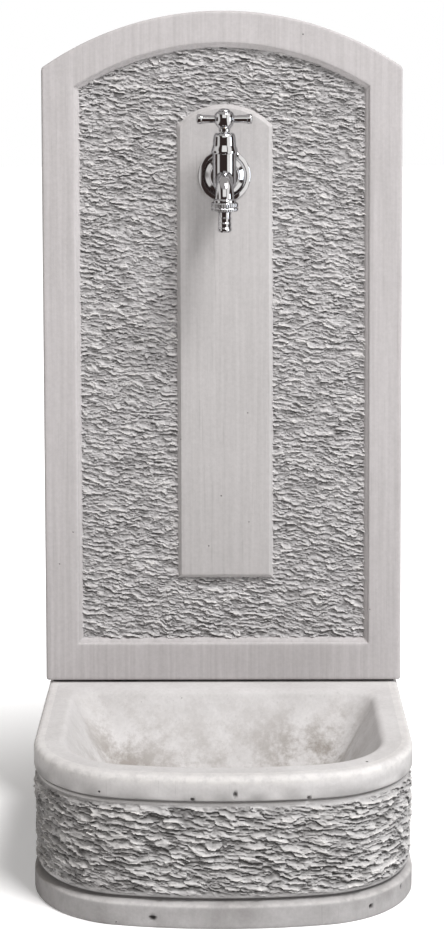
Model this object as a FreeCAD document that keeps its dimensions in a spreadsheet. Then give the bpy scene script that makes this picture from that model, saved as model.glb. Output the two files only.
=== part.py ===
"""Wall-backed garden drinking fountain: two concrete castings, a chromed bib tap, its supply and its drain.

+Z is up and the front faces -Y. The origin is on the floor, at the centre of the outer box.
Screw threads are plain cylinders, and a male one is thinner than its socket by thread_gap all round.
"""
import FreeCAD, Part
import os

import Sketcher

V = FreeCAD.Vector
DOC = FreeCAD.newDocument("fountain")
UP = FreeCAD.Rotation()
FORWARD = FreeCAD.Rotation(V(1, 0, 0), 90)
BACKWARD = FreeCAD.Rotation(V(1, 0, 0), -90)
SIDEWAYS = FreeCAD.Rotation(V(0, 1, 0), 90)
SIDEWAYS_BACK = FreeCAD.Rotation(V(0, 1, 0), -90)

SIZES = {
    # whole object
    "wide": 430, "deep": 392, "slab_deep": 60, "feature_x": 3,
    # gaps: in threads, at the ends of seated pieces, beyond the tips of pins and screws; cutters overrun
    "thread_gap": 0.05, "end_gap": 0.5, "tip_gap": 1, "overrun": 1,
    # back slab, its arched recess and the raised strip that carries the tap
    "slab_foot": 170, "slab_spring": 912.5, "slab_crown": 980,
    "frame_wide": 40, "recess_deep": 9, "recess_draft": 5.5,
    "recess_foot": 216, "recess_spring": 890, "recess_crown": 941,
    "strip_wide": 106, "strip_raise": 8, "strip_draft": 5.5,
    "strip_foot": 300, "strip_spring": 842, "strip_crown": 864,
    "channel_wide": 64, "channel_deep": 34, "channel_top": 830, "pipe_hole": 28,
    # basin
    "basin_wide": 424, "rim_top": 167, "rim_foot": 140, "groove_tall": 3, "groove_deep": 3.5,
    "band_deep": 2.5, "plinth_top": 28,
    "corner_round": 122, "front_bow": 600, "rim_wide": 33,
    "bowl_back": 106, "bowl_back_round": 30, "bowl_floor": 70,
    "floor_half": 116, "floor_back": 32, "floor_front": -112, "floor_round": 50, "floor_bow": 420,
    "floor_back_round": 24, "drain_y": -36,
    "drain_pocket_wide": 92, "drain_pocket_tall": 42, "drain_channel_wide": 50,
    # bedding and fixings between the castings, and behind them
    "bed_inset": 8, "dowel_x": 150, "dowel_wide": 10, "dowel_long": 62, "dowel_gap": 0.4,
    "socket_x": 110, "socket_z": 850, "socket_wide": 16, "socket_long": 38, "socket_bore": 10,
    "bore_long": 28,
    # tap: places
    "inlet_z": 784, "valve_out": 48, "spout_out": 80, "outlet_z": 757,
    # tap: wall flange and inlet
    "flange_wide": 63, "flange_thick": 9, "flange_lip": 3, "flange_bore": 23, "flange_skin": 1.6,
    "flange_seat": 6, "flange_dish": 9, "flange_roll": 3, "roll_rise": 1, "dish_edge": 6, "dish_rise": 1.4,
    "half_inch": 20.95, "inlet_boss": 25, "inlet_long": 13, "waterway": 12, "seal_thick": 1.5,
    # tap: valve chamber, seat and spout
    "body_wide": 27.5, "body_round": 4, "body_foot": 770.5, "body_top": 815, "spout_wide": 22,
    "spout_bend": 22,
    "outlet_wide": 26.2, "outlet_tall": 6, "outlet_meet": 3, "chamber_wide": 19, "seat_z": 788,
    "seat_bore": 9,
    "lower_bore": 10, "lower_drop": 4, "oblique_bore": 8, "oblique_out": 7, "oblique_z": 792,
    "oblique_fall": 19, "oblique_run": 25, "outlet_bore": 14,
    # tap: headworks
    "bonnet_foot": 801, "bonnet_top": 835, "bonnet_neck": 15, "bonnet_flange_wide": 25.4,
    "bonnet_flange_tall": 4, "gasket_thick": 1, "gland_nut_proud": 1.6,
    "spindle_wide": 12, "spindle_foot": 796, "spindle_step": 815, "stem_wide": 8, "stem_top": 858,
    "guide_step": 823, "running_gap": 0.06, "gland_wide": 12.4, "gland_tall": 4, "gland_nut_tall": 2,
    "cover_foot": 813.5, "cover_top": 837.3, "cover_foot_wide": 31.4, "cover_top_wide": 25.6,
    "cover_skin": 1.3,
    "cover_hole": 16.4, "cover_skirt": 3, "cover_waist": 9, "waist_out": 0.8, "cover_round": 1.2,
    "washer_wide": 15, "washer_thick": 3.4, "rest_gap": 0.05, "plate_thick": 3, "pin_wide": 6, "pin_top": 807,
    "washer_screw_wide": 6, "washer_screw_head": 1.4,
    # tap: handle
    "collar_foot": 838.6, "neck_wide": 13.4, "hub_foot": 844, "hub_wide": 23, "hub_top": 862.5,
    "hub_top_wide": 16.4, "arm_z": 853.6, "arm_span": 65.6, "arm_root": 7, "arm_tip": 10.4, "knob_long": 5,
    "cup_in": 2.6, "cup_rise": 2, "hub_belt": 3, "head_gap": 0.4, "ledge_gap": 0.3, "screw_gap": 0.2,
    "knob_step": 0.6, "dome_long": 1.5, "dome_in": 0.4, "cap_edge": 1, "cap_slope": 2, "cap_shoulder": 5,
    "cap_wide": 14, "cap_tall": 3.4, "screw_wide": 4, "screw_long": 9, "screw_head_wide": 7,
    "screw_head_tall": 2.2,
    # tap: hose union
    "nut_wide": 31.6, "nut_foot": 748.5, "nut_tall": 10.2, "nut_lip": 2.2, "tail_wide": 15.8, "tail_neck": 14,
    "tail_foot": 724, "tail_bore": 9.5, "tail_flange": 22.5, "barb_pitch": 6, "union_seal_thick": 2,
    "nut_clear": 0.3, "nut_bevel": 1, "flange_gap": 0.1, "lead_in": 0.6, "lead_long": 2,
    "groove_fall": 1.4, "groove_rise": 1.2, "tail_slim": 0.5, "barb_stop": 1,
    # supply
    "extension_wide": 25, "extension_set": 1, "socket_depth": 13, "elbow_wide": 26, "elbow_back": 190,
    "plate_wide": 56, "plate_tall": 26, "plate_hole": 5, "plate_hole_x": 21, "elbow_foot": 764,
    "riser_wide": 15, "riser_bore": 13, "riser_foot": 96, "riser_y": 177, "comp_nut_flats": 24,
    "comp_nut_tall": 14, "comp_body_wide": 24, "olive_wide": 17.6, "olive_tall": 6, "adaptor_foot": 66,
    "screw_shank": 4.5, "screw_reach": 16, "plug_wide": 8, "clip_wide": 40, "clip_tall": 14, "clip_skin": 1.5,
    "clip_low_z": 300, "clip_high_z": 620, "hex_share": 1.1547,
    "clip_gap": 0.2, "clip_hole_edge": 4.5, "strap_thick": 2, "plate_skin": 3, "leg_slim": 2, "way_meet": 2,
    "pipe_stop": 10, "pipe_in": 9, "adaptor_cup": 10, "screw_short": 3, "fixing_head_wide": 8.4,
    "fixing_head_tall": 2.4, "shoulder_gap": 0.1,
    # drain
    "strainer_wide": 64, "strainer_thick": 2.5, "strainer_hole": 7, "strainer_ring": 26, "drain_hole": 44,
    "drain_seal_thick": 2, "tube_wide": 41.9, "tube_bore": 36, "tube_foot": 14, "drain_seal_wide": 58,
    "backnut_flats": 54, "backnut_tall": 8, "bridge_tall": 4, "bridge_wide": 9, "bridge_drop": 12,
    "seal_inset": 2, "tube_gap": 0.2, "tube_base": 2, "drain_screw_drop": 15, "head_bevel": 1.5,
    "head_edge": 2.2, "head_top": 2.6, "drain_screw_wide": 6, "drain_screw_head": 11, "drain_pipe_wide": 25,
    "drain_pipe_bore": 21, "drain_pipe_z": 17.5, "pipe_collar_wide": 28, "pipe_collar_long": 3,
    "spigot_long": 29,
}

SHEET = DOC.addObject("Spreadsheet::Sheet", "Sizes")
for row, (alias, number) in enumerate(SIZES.items(), 1):
    SHEET.set(f"A{row}", alias)
    SHEET.set(f"B{row}", str(number))
    SHEET.setAlias(f"B{row}", alias)
DOC.recompute()

NODES = []


def named(text):
    """Write a formula over the short aliases as one that the expression engine reads."""
    words = []
    word = ""
    for letter in f"{text} ":
        if letter.isalnum() or letter in "_.":
            word += letter
            continue
        words.append(f"Sizes.{word}" if word in SIZES else word)
        words.append(letter)
        word = ""
    return "".join(words).strip()


def worth(text):
    """The formula's value in millimetres."""
    return float(SHEET.evalExpression(named(text)))


def bind(item, **formulas):
    """Tie properties to the sheet; a double underscore stands for the dot in a property path."""
    for path, formula in formulas.items():
        item.setExpression(path.replace("__", "."), named(formula))


def place(item, x="0", y="0", z="0", turn=UP):
    """Put a piece at a point given by formulas, turned by a fixed rotation."""
    item.Placement = FreeCAD.Placement(V(worth(x), worth(y), worth(z)), turn)
    bind(item, Placement__Base__x=x, Placement__Base__y=y, Placement__Base__z=z)


def keep(item, label):
    """Mark a piece as a sub-part that is written to its own file."""
    item.Label = label
    NODES.append(item)
    return item


# ---------------------------------------------------------------- sketches and bodies

def plane(body, role):
    """One of the body's own origin planes."""
    return next(part for part in body.Origin.OriginFeatures if part.Role == role)


def arc_middle(start, end, radius):
    """The middle of a short arc that bulges to the right of its chord."""
    chord = end - start
    sagitta = radius - max(radius ** 2 - chord.Length ** 2 / 4, 0) ** 0.5
    return (start + end) * 0.5 + V(chord.y, -chord.x, 0).normalize() * sagitta


def sketch(body, name, role, loops, offset="0"):
    """A fully dimensioned sketch of closed loops.

    Each corner is (x, y), or (x, y, radius of the arc to the next corner). A single one is a circle.
    """
    made = body.newObject("Sketcher::SketchObject", name)
    made.AttachmentSupport = [(plane(body, role), "")]
    made.MapMode = "FlatFace"
    bind(made, AttachmentOffset__Base__z=offset)
    for corners in loops:
        first = made.GeometryCount
        spots = [V(worth(corner[0]), worth(corner[1]), 0) for corner in corners]
        count = len(corners)
        anchor = 3 if count == 1 else 1
        for index, corner in enumerate(corners):
            start, end = spots[index], spots[(index + 1) % count]
            if count == 1:
                edge = Part.Circle(start, V(0, 0, 1), worth(corner[2]))
            elif len(corner) == 3:
                edge = Part.Arc(start, arc_middle(start, end, worth(corner[2])), end)
            else:
                edge = Part.LineSegment(start, end)
            made.addGeometry(edge, False)
        for index in range(count if count > 1 else 0):
            following = first + (index + 1) % count
            made.addConstraint(Sketcher.Constraint("Coincident", first + index, 2, following, 1))
        for index, corner in enumerate(corners):
            for kind, axis, formula in (("DistanceX", -2, corner[0]), ("DistanceY", -1, corner[1])):
                size = worth(formula)
                if abs(size) < 1e-9:
                    made.addConstraint(Sketcher.Constraint("PointOnObject", first + index, anchor, axis))
                    continue
                rule = made.addConstraint(Sketcher.Constraint(kind, -1, 1, first + index, anchor, size))
                made.setExpression(f"Constraints[{rule}]", named(formula))
            if len(corner) == 3:
                rule = made.addConstraint(Sketcher.Constraint("Radius", first + index, worth(corner[2])))
                made.setExpression(f"Constraints[{rule}]", named(corner[2]))
    made.Visibility = False
    return made


def body_of(label):
    """A new body that is kept as a sub-part."""
    return keep(DOC.addObject("PartDesign::Body", label), label)


def feature(body, kind, name, profile, **settings):
    """Add a sketch-based feature and check that it changed the solid's volume."""
    before = body.Shape.Volume if body.Shape.Solids else 0.0
    made = body.newObject(f"PartDesign::{kind}", name)
    made.Profile = profile
    for key, value in settings.items():
        setattr(made, key, value)
    return made, before


def changed(body, before, sign):
    """Recompute, then stop if the last feature did not add or cut as meant."""
    DOC.recompute()
    if (body.Shape.Volume - before) * sign <= 0:
        raise RuntimeError(f"{body.Label}: {body.Tip.Name} left the volume as it was")


def extrude(body, kind, name, loops, length, role="XY_Plane", offset="0", reverse=False, through=False):
    """Pad or pocket closed loops; a pocket runs against the plane's normal unless reversed."""
    made, before = feature(body, kind, name, sketch(body, f"{name}_outline", role, loops, offset))
    made.Reversed = reverse
    if through:
        made.Type = "ThroughAll"
    else:
        bind(made, Length=length)
    changed(body, before, 1 if kind == "Pad" else -1)
    return made


def loft(body, kind, name, role, near, far, near_offset, far_offset):
    """A straight-sided loft, added or cut, between two loops with matching edges."""
    first = sketch(body, f"{name}_near", role, [near], near_offset)
    last = sketch(body, f"{name}_far", role, [far], far_offset)
    made, before = feature(body, kind, name, first, Sections=[last], Ruled=True)
    changed(body, before, 1 if kind == "AdditiveLoft" else -1)
    return made


def turned(label, corners, x="0", y="0", z="0", turn=UP):
    """A piece turned on a lathe: corners are (radius, height) about the piece's own axis."""
    body = body_of(label)
    outline = sketch(body, f"{label}_profile", "XZ_Plane", [corners])
    made = body.newObject("PartDesign::Revolution", f"{label}_turning")
    made.Profile = outline
    made.ReferenceAxis = (outline, ["V_Axis"])
    made.Angle = 360
    place(body, x, y, z, turn)
    DOC.recompute()
    return body


def ring(label, outer, bore, tall, x="0", y="0", z="0", turn=UP):
    """A plain washer or tube."""
    outer_r, bore_r = f"({outer}) / 2", f"({bore}) / 2"
    return turned(label, [(bore_r, "0"), (outer_r, "0"), (outer_r, tall), (bore_r, tall)], x, y, z, turn)


def circle(wide, x="0", y="0"):
    """A round loop, given across its width."""
    return [(x, y, f"({wide}) / 2")]


def box_loop(x0, y0, x1, y1):
    """A rectangle, anticlockwise."""
    return [(x0, y0), (x1, y0), (x1, y1), (x0, y1)]


# ---------------------------------------------------------------- loose primitives

def rod(name, wide, long, x, y, z, turn=UP):
    """A plain cylinder for a boolean."""
    made = DOC.addObject("Part::Cylinder", name)
    bind(made, Radius=f"({wide}) / 2", Height=long)
    place(made, x, y, z, turn)
    return made


def block(name, long, broad, tall, x, y, z):
    """A plain box for a boolean, from its lowest corner."""
    made = DOC.addObject("Part::Box", name)
    bind(made, Length=long, Width=broad, Height=tall)
    place(made, x, y, z)
    return made


def hexagon(name, flats, tall, x, y, z, turn=UP):
    """A hexagonal prism, sized across its flats."""
    made = DOC.addObject("Part::Prism", name)
    made.Polygon = 6
    bind(made, Circumradius=f"({flats}) / 2 * hex_share", Height=tall)
    place(made, x, y, z, turn)
    return made


def joined(name, items):
    """Several shapes as one."""
    made = DOC.addObject("Part::MultiFuse", name)
    made.Shapes = items
    return made


def cut(name, base, tool):
    """One shape less another."""
    made = DOC.addObject("Part::Cut", name)
    made.Base, made.Tool = base, tool
    return made


# ---------------------------------------------------------------- shared places

BACK_Y = "deep / 2"
FACE_Y = "(deep / 2 - slab_deep)"
STRIP_Y = f"({FACE_Y} + recess_deep - strip_raise)"
CHANNEL_Y = "(deep / 2 - channel_deep)"
VALVE_Y = f"({FACE_Y} - valve_out)"
SPOUT_Y = f"({FACE_Y} - spout_out)"
LOOSE = "2 * thread_gap"


def arched(half, foot, spring, crown, x="0"):
    """A loop with an upright side each way and a shallow arch over the top."""
    arch = f"(({half})^2 + ({crown} - {spring})^2) / (2 * ({crown} - {spring}))"
    return [(f"{x} - ({half})", foot), (f"{x} + ({half})", foot),
            (f"{x} + ({half})", spring, arch), (f"{x} - ({half})", spring)]


def bowed(half, back, front, corner, bow, back_corner=None):
    """The basin's plan: straight sides, large front corners and a gently bowed front."""
    inner = f"(({bow}) - ({corner}))"
    across = f"(({half}) - ({corner}))"
    reach = f"sqrt({inner}^2 - {across}^2)"
    turn_y = f"(({front}) + ({bow}) - {reach})"
    meet_x = f"(({bow}) * {across} / {inner})"
    meet_y = f"(({front}) + ({bow}) - ({bow}) * {reach} / {inner})"
    front_part = [(f"-({half})", turn_y, corner), (f"-{meet_x}", meet_y, bow),
                  (meet_x, meet_y, corner), (half, turn_y)]
    if back_corner is None:
        return [(half, back), (f"-({half})", back)] + front_part
    start = f"(({half}) - {back_corner})"
    low = f"(({back}) - {back_corner})"
    return [(start, back), (f"-{start}", back, back_corner), (f"-({half})", low)] + front_part + [
        (half, low, back_corner)]


# ---------------------------------------------------------------- concrete castings

def back_slab():
    """Arched slab, cast face down: flat frame, sunk field, raised strip and a pipe channel behind."""
    body = body_of("back_slab")
    place(body, y=BACK_Y)
    outer = arched("wide / 2", "slab_foot", "slab_spring", "slab_crown")
    extrude(body, "Pad", "slab", [outer], "slab_deep", "XZ_Plane")
    half = "(wide / 2 - frame_wide)"
    sunk = arched(half, "recess_foot", "recess_spring", "recess_crown")
    floor = arched(f"{half} - recess_draft", "recess_foot + recess_draft", "recess_spring",
                   "recess_crown - recess_draft")
    loft(body, "SubtractiveLoft", "recess", "XZ_Plane", sunk, floor, "slab_deep", "slab_deep - recess_deep")
    base = arched("strip_wide / 2 + strip_draft", "strip_foot - strip_draft", "strip_spring",
                  "strip_crown + strip_draft", "feature_x")
    top = arched("strip_wide / 2", "strip_foot", "strip_spring", "strip_crown", "feature_x")
    loft(body, "AdditiveLoft", "strip", "XZ_Plane", base, top, "slab_deep - recess_deep",
         "slab_deep - recess_deep + strip_raise")
    channel = box_loop("feature_x - channel_wide / 2", "slab_foot", "feature_x + channel_wide / 2",
                       "channel_top")
    extrude(body, "Pocket", "channel", [channel], "channel_deep", "XZ_Plane", "channel_deep")
    extrude(body, "Pocket", "pipe_hole_cut", [circle("pipe_hole", "feature_x", "inlet_z")], "slab_deep",
            "XZ_Plane", "slab_deep")
    for side in ("-1", "1"):
        tag = "left" if side == "-1" else "right"
        spot = f"{side} * socket_x"
        extrude(body, "Pocket", f"tie_{tag}", [circle("socket_wide + dowel_gap", spot, "socket_z")],
                "socket_long", "XZ_Plane", "socket_long")
        extrude(body, "Pocket", f"dowel_{tag}",
                [circle("dowel_wide + dowel_gap", f"{side} * dowel_x", "-slab_deep / 2")],
                "dowel_long / 2", "XY_Plane", "slab_foot", reverse=True)
        clip_x = f"feature_x + {side} * (clip_wide / 2 - clip_hole_edge)"
        clip_holes = [circle("plug_wide + thread_gap", clip_x, height) for height in ("clip_low_z",
                                                                                      "clip_high_z")]
        elbow_hole = circle("plug_wide + thread_gap", f"feature_x + {side} * plate_hole_x", "inlet_z")
        extrude(body, "Pocket", f"plugs_{tag}", clip_holes + [elbow_hole], "screw_reach", "XZ_Plane",
                "channel_deep + screw_reach")
    return body


def basin():
    """Bow-fronted trough with a flat rim, a shadow groove, a rough band, a plinth and a sloping bowl."""
    body = body_of("basin")
    front = "-deep / 2"
    outer = bowed("basin_wide / 2", BACK_Y, front, "corner_round", "front_bow")
    extrude(body, "Pad", "block", [outer], "rim_top")
    around = box_loop("-wide", "-deep", "wide", "deep")
    for name, inset, top, tall in (("groove", "groove_deep", "rim_foot", "groove_tall"),
                                   ("band", "band_deep", "rim_foot - groove_tall",
                                    "rim_foot - groove_tall - plinth_top")):
        inner = bowed(f"basin_wide / 2 - {inset}", f"{BACK_Y} + {inset}", f"{front} + {inset}",
                      f"corner_round - {inset}", f"front_bow - {inset}")
        extrude(body, "Pocket", name, [around, inner], tall, offset=top)
    mouth = bowed("basin_wide / 2 - rim_wide", "bowl_back", f"{front} + rim_wide", "corner_round - rim_wide",
                  "front_bow - rim_wide", "bowl_back_round")
    floor = bowed("floor_half", "floor_back", "floor_front", "floor_round", "floor_bow", "floor_back_round")
    loft(body, "SubtractiveLoft", "bowl", "XY_Plane", mouth, floor, "rim_top", "bowl_floor")
    extrude(body, "Pocket", "strainer_seat", [circle("strainer_wide + 2 * dowel_gap", "0", "drain_y")],
            "strainer_thick + drain_seal_thick", offset="bowl_floor")
    extrude(body, "Pocket", "drain_bore", [circle("drain_hole", "0", "drain_y")], "rim_top",
            offset="bowl_floor")
    extrude(body, "Pocket", "drain_pocket", [circle("drain_pocket_wide", "0", "drain_y")],
            "drain_pocket_tall",
            reverse=True)
    extrude(body, "Pocket", "drain_channel",
            [box_loop("-drain_channel_wide / 2", "drain_y", "drain_channel_wide / 2", BACK_Y)],
            "drain_pocket_tall", reverse=True)
    extrude(body, "Pocket", "supply_channel",
            [box_loop("feature_x - channel_wide / 2", CHANNEL_Y, "feature_x + channel_wide / 2", BACK_Y)],
            "rim_top", offset="rim_top")
    holes = [circle("dowel_wide + dowel_gap", f"{side} * dowel_x", f"{BACK_Y} - slab_deep / 2")
             for side in ("-1", "1")]
    extrude(body, "Pocket", "dowel_holes", holes, "dowel_long / 2", offset="rim_top")
    return body


def bedding():
    """Thin mortar bed, kept back from the faces, and the two dowels that tie the castings together."""
    bed = body_of("mortar_bed")
    place(bed, z="rim_top")
    left, right = "-(wide / 2 - bed_inset)", "wide / 2 - bed_inset"
    low, high = f"{FACE_Y} + bed_inset", f"{BACK_Y} - bed_inset"
    gap_left, gap_right = "feature_x - channel_wide / 2", "feature_x + channel_wide / 2"
    outline = [(left, low), (right, low), (right, high), (gap_right, high), (gap_right, CHANNEL_Y),
               (gap_left, CHANNEL_Y), (gap_left, high), (left, high)]
    holes = [circle("dowel_wide + dowel_gap", f"{side} * dowel_x", f"{BACK_Y} - slab_deep / 2")
             for side in ("-1", "1")]
    extrude(bed, "Pad", "bed", [outline] + holes, "slab_foot - rim_top")
    pin_foot = "(rim_top + slab_foot) / 2 - dowel_long / 2 + end_gap"
    pins = [rod(f"dowel_{tag}", "dowel_wide", "dowel_long - 2 * end_gap", f"{side} * dowel_x",
                f"{BACK_Y} - slab_deep / 2", pin_foot) for tag, side in (("left", "-1"), ("right", "1"))]
    keep(joined("dowel_pins", pins), "dowel_pins")


def tie_sockets():
    """Two steel sockets cast into the slab's back, which take the bolts that tie it to a wall."""
    cups = []
    for tag, side in (("left", "-1"), ("right", "1")):
        shell = rod(f"tie_shell_{tag}", "socket_wide", "socket_long - end_gap", f"{side} * socket_x",
                    f"{BACK_Y} - socket_long + end_gap", "socket_z", BACKWARD)
        bore = rod(f"tie_bore_{tag}", "socket_bore", "bore_long + overrun", f"{side} * socket_x",
                   f"{BACK_Y} - bore_long", "socket_z", BACKWARD)
        cups.append(cut(f"tie_cup_{tag}", shell, bore))
    keep(joined("tie_sockets", cups), "tie_sockets")


# ---------------------------------------------------------------- tap

def tap_inlet():
    """Stepped, dished wall flange and the fibre washer that the tap's shoulder presses on it."""
    rim, bore = "flange_wide / 2", "flange_bore / 2"
    corners = [(bore, "flange_thick - flange_skin"), (f"{bore} + flange_seat", "flange_thick - flange_skin"),
               (f"{rim} - flange_dish", "flange_lip"), (f"{rim} - flange_roll", "0"), (rim, "0"),
               (rim, "flange_lip - roll_rise"),
               (f"{rim} - flange_roll", "flange_lip + roll_rise"),
               (f"{rim} - dish_edge", "flange_lip + dish_rise"),
               (f"{rim} - flange_dish", "flange_lip + flange_skin + roll_rise"),
               (f"{bore} + flange_seat", "flange_thick"),
               (bore, "flange_thick")]
    turned("wall_flange", corners, "feature_x", STRIP_Y, "inlet_z", FORWARD)
    ring("inlet_seal", "inlet_boss", f"half_inch + {LOOSE}", "seal_thick", "feature_x",
         f"{STRIP_Y} - flange_thick", "inlet_z", FORWARD)


def tap_body():
    """One brass casting: inlet tail, boss, upright valve chamber and a spout that bends down."""
    shoulder = f"({STRIP_Y} - flange_thick - seal_thick)"
    x, low = "feature_x", "inlet_z - lower_drop"
    solids = [
        rod("tap_tail", "half_inch", f"{shoulder} - {VALVE_Y} + flange_thick + seal_thick + inlet_long", x,
            VALVE_Y, "inlet_z", BACKWARD),
        rod("tap_boss", "inlet_boss", f"{shoulder} - {VALVE_Y}", x, VALVE_Y, "inlet_z", BACKWARD),
        rod("tap_chamber", "body_wide", "body_top - body_foot - body_round", x, VALVE_Y,
            "body_foot + body_round"),
        rod("tap_drop", "spout_wide", "inlet_z - spout_bend - outlet_z", x, SPOUT_Y, "outlet_z"),
        rod("tap_outlet", "outlet_wide", "outlet_tall", x, SPOUT_Y, "outlet_z"),
    ]
    belly = DOC.addObject("Part::Cone", "tap_belly")
    bind(belly, Radius1="body_wide / 2 - body_round", Radius2="body_wide / 2", Height="body_round")
    place(belly, x, VALVE_Y, "body_foot")
    bend = DOC.addObject("Part::Torus", "tap_bend")
    bind(bend, Radius1="spout_bend", Radius2="spout_wide / 2")
    bend.Angle3 = 90
    sweep = FreeCAD.Rotation(V(0, 1, 0), 90) * FreeCAD.Rotation(V(0, 0, 1), 180)
    place(bend, x, f"{SPOUT_Y} + spout_bend", "inlet_z - spout_bend", sweep)
    hollows = [
        rod("bore_inlet", "lower_bore", "slab_deep + valve_out", x, f"{VALVE_Y} - lower_bore / 2", low,
            BACKWARD),
        rod("bore_seat", "seat_bore", "seat_z - inlet_z + lower_drop + overrun", x, VALVE_Y, low),
        rod("bore_chamber", "chamber_wide", "body_top", x, VALVE_Y, "seat_z"),
        rod("bore_thread", f"half_inch + {LOOSE}", "body_top", x, VALVE_Y, "bonnet_foot - end_gap"),
        rod("bore_outlet", "outlet_bore", "oblique_z - oblique_fall - outlet_z + outlet_meet + overrun", x,
            SPOUT_Y, "outlet_z - overrun"),
    ]
    slope = FreeCAD.Rotation(V(0, 0, 1), V(0, -worth("oblique_run"), -worth("oblique_fall")))
    hollows.append(rod("bore_oblique", "oblique_bore", "sqrt(oblique_run^2 + oblique_fall^2)", x,
                       f"{VALVE_Y} - oblique_out", "oblique_z", slope))
    keep(cut("tap_body", joined("tap_solid", solids + [belly, bend]), joined("tap_hollow", hollows)),
         "tap_body")


def headworks():
    """Bonnet, its gasket, packing and gland nut, and the chrome cover over them."""
    x, y = "feature_x", VALVE_Y
    thread, guide = "half_inch / 2", "(spindle_wide / 2 + running_gap)"
    stem, neck = "(stem_wide / 2 + running_gap)", "bonnet_neck / 2"
    packed, flange = "gland_wide / 2", "bonnet_flange_wide / 2"
    seat = "body_top + gasket_thick"
    cup = "bonnet_top - gland_tall - gland_nut_tall"
    corners = [(guide, "bonnet_foot"), (thread, "bonnet_foot"), (thread, seat), (flange, seat),
               (flange, f"{seat} + bonnet_flange_tall"), (neck, f"{seat} + bonnet_flange_tall"),
               (neck, "bonnet_top"), (packed, "bonnet_top"),
               (packed, cup), (stem, cup), (stem, "guide_step"), (guide, "guide_step")]
    turned("bonnet", corners, x, y)
    ring("bonnet_gasket", "bonnet_flange_wide", f"half_inch + {LOOSE}", "gasket_thick", x, y, "body_top")
    ring("gland_packing", f"gland_wide - {LOOSE}", "stem_wide + 2 * running_gap", "gland_tall", x, y, cup)
    ring("gland_nut", f"gland_wide - {LOOSE}", "stem_wide + 2 * running_gap",
         "gland_nut_tall + gland_nut_proud", x, y,
         "bonnet_top - gland_nut_tall")
    foot, top, skin = "cover_foot_wide / 2", "cover_top_wide / 2", "cover_skin"
    shell = [(f"{foot} - {skin}", "cover_foot"), (foot, "cover_foot"), (foot, "cover_foot + cover_skirt"),
             (f"{top} + waist_out", "cover_foot + cover_waist"), (top, "cover_top - cover_round"),
             (f"{top} - cover_round", "cover_top"),
             ("cover_hole / 2", "cover_top"), ("cover_hole / 2", f"cover_top - {skin}"),
             (f"{top} - cover_round", f"cover_top - {skin}"),
             (f"{top} + waist_out - {skin}", "cover_foot + cover_waist"),
             (f"{foot} - {skin}", "cover_foot + cover_skirt")]
    turned("bonnet_cover", shell, x, y)


def valve():
    """Rising plate with its rubber washer and screw, and the threaded spindle that carries it."""
    x, y = "feature_x", VALVE_Y
    washer_foot = "(seat_z + rest_gap)"
    plate_foot = f"({washer_foot} + washer_thick)"
    tip, screw = "pin_wide / 2", "washer_screw_wide / 2"
    ring("valve_washer", "washer_wide", "screw_wide", "washer_thick", x, y, washer_foot)
    turned("jumper_plate", [("0", plate_foot), ("washer_wide / 2", plate_foot),
                            ("washer_wide / 2", f"{plate_foot} + plate_thick"),
                            (tip, f"{plate_foot} + plate_thick"), (tip, "pin_top"), ("0", "pin_top")], x, y)
    shank = "(screw_wide / 2 - thread_gap)"
    turned("washer_screw", [("0", f"{washer_foot} - washer_screw_head"),
                            (screw, f"{washer_foot} - washer_screw_head"),
                            (screw, washer_foot), (shank, washer_foot), (shank, plate_foot),
                            ("0", plate_foot)], x, y)
    wide, stem, socket = "spindle_wide / 2", "stem_wide / 2", "(pin_wide / 2 + running_gap)"
    turned("spindle", [(socket, "spindle_foot"), (wide, "spindle_foot"), (wide, "spindle_step"),
                       (stem, "spindle_step"), (stem, "stem_top"), ("screw_wide / 2", "stem_top"),
                       ("screw_wide / 2", "stem_top - screw_long"), ("0", "stem_top - screw_long"),
                       ("0", "pin_top + tip_gap"), (socket, "pin_top + tip_gap")], x, y)


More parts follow.
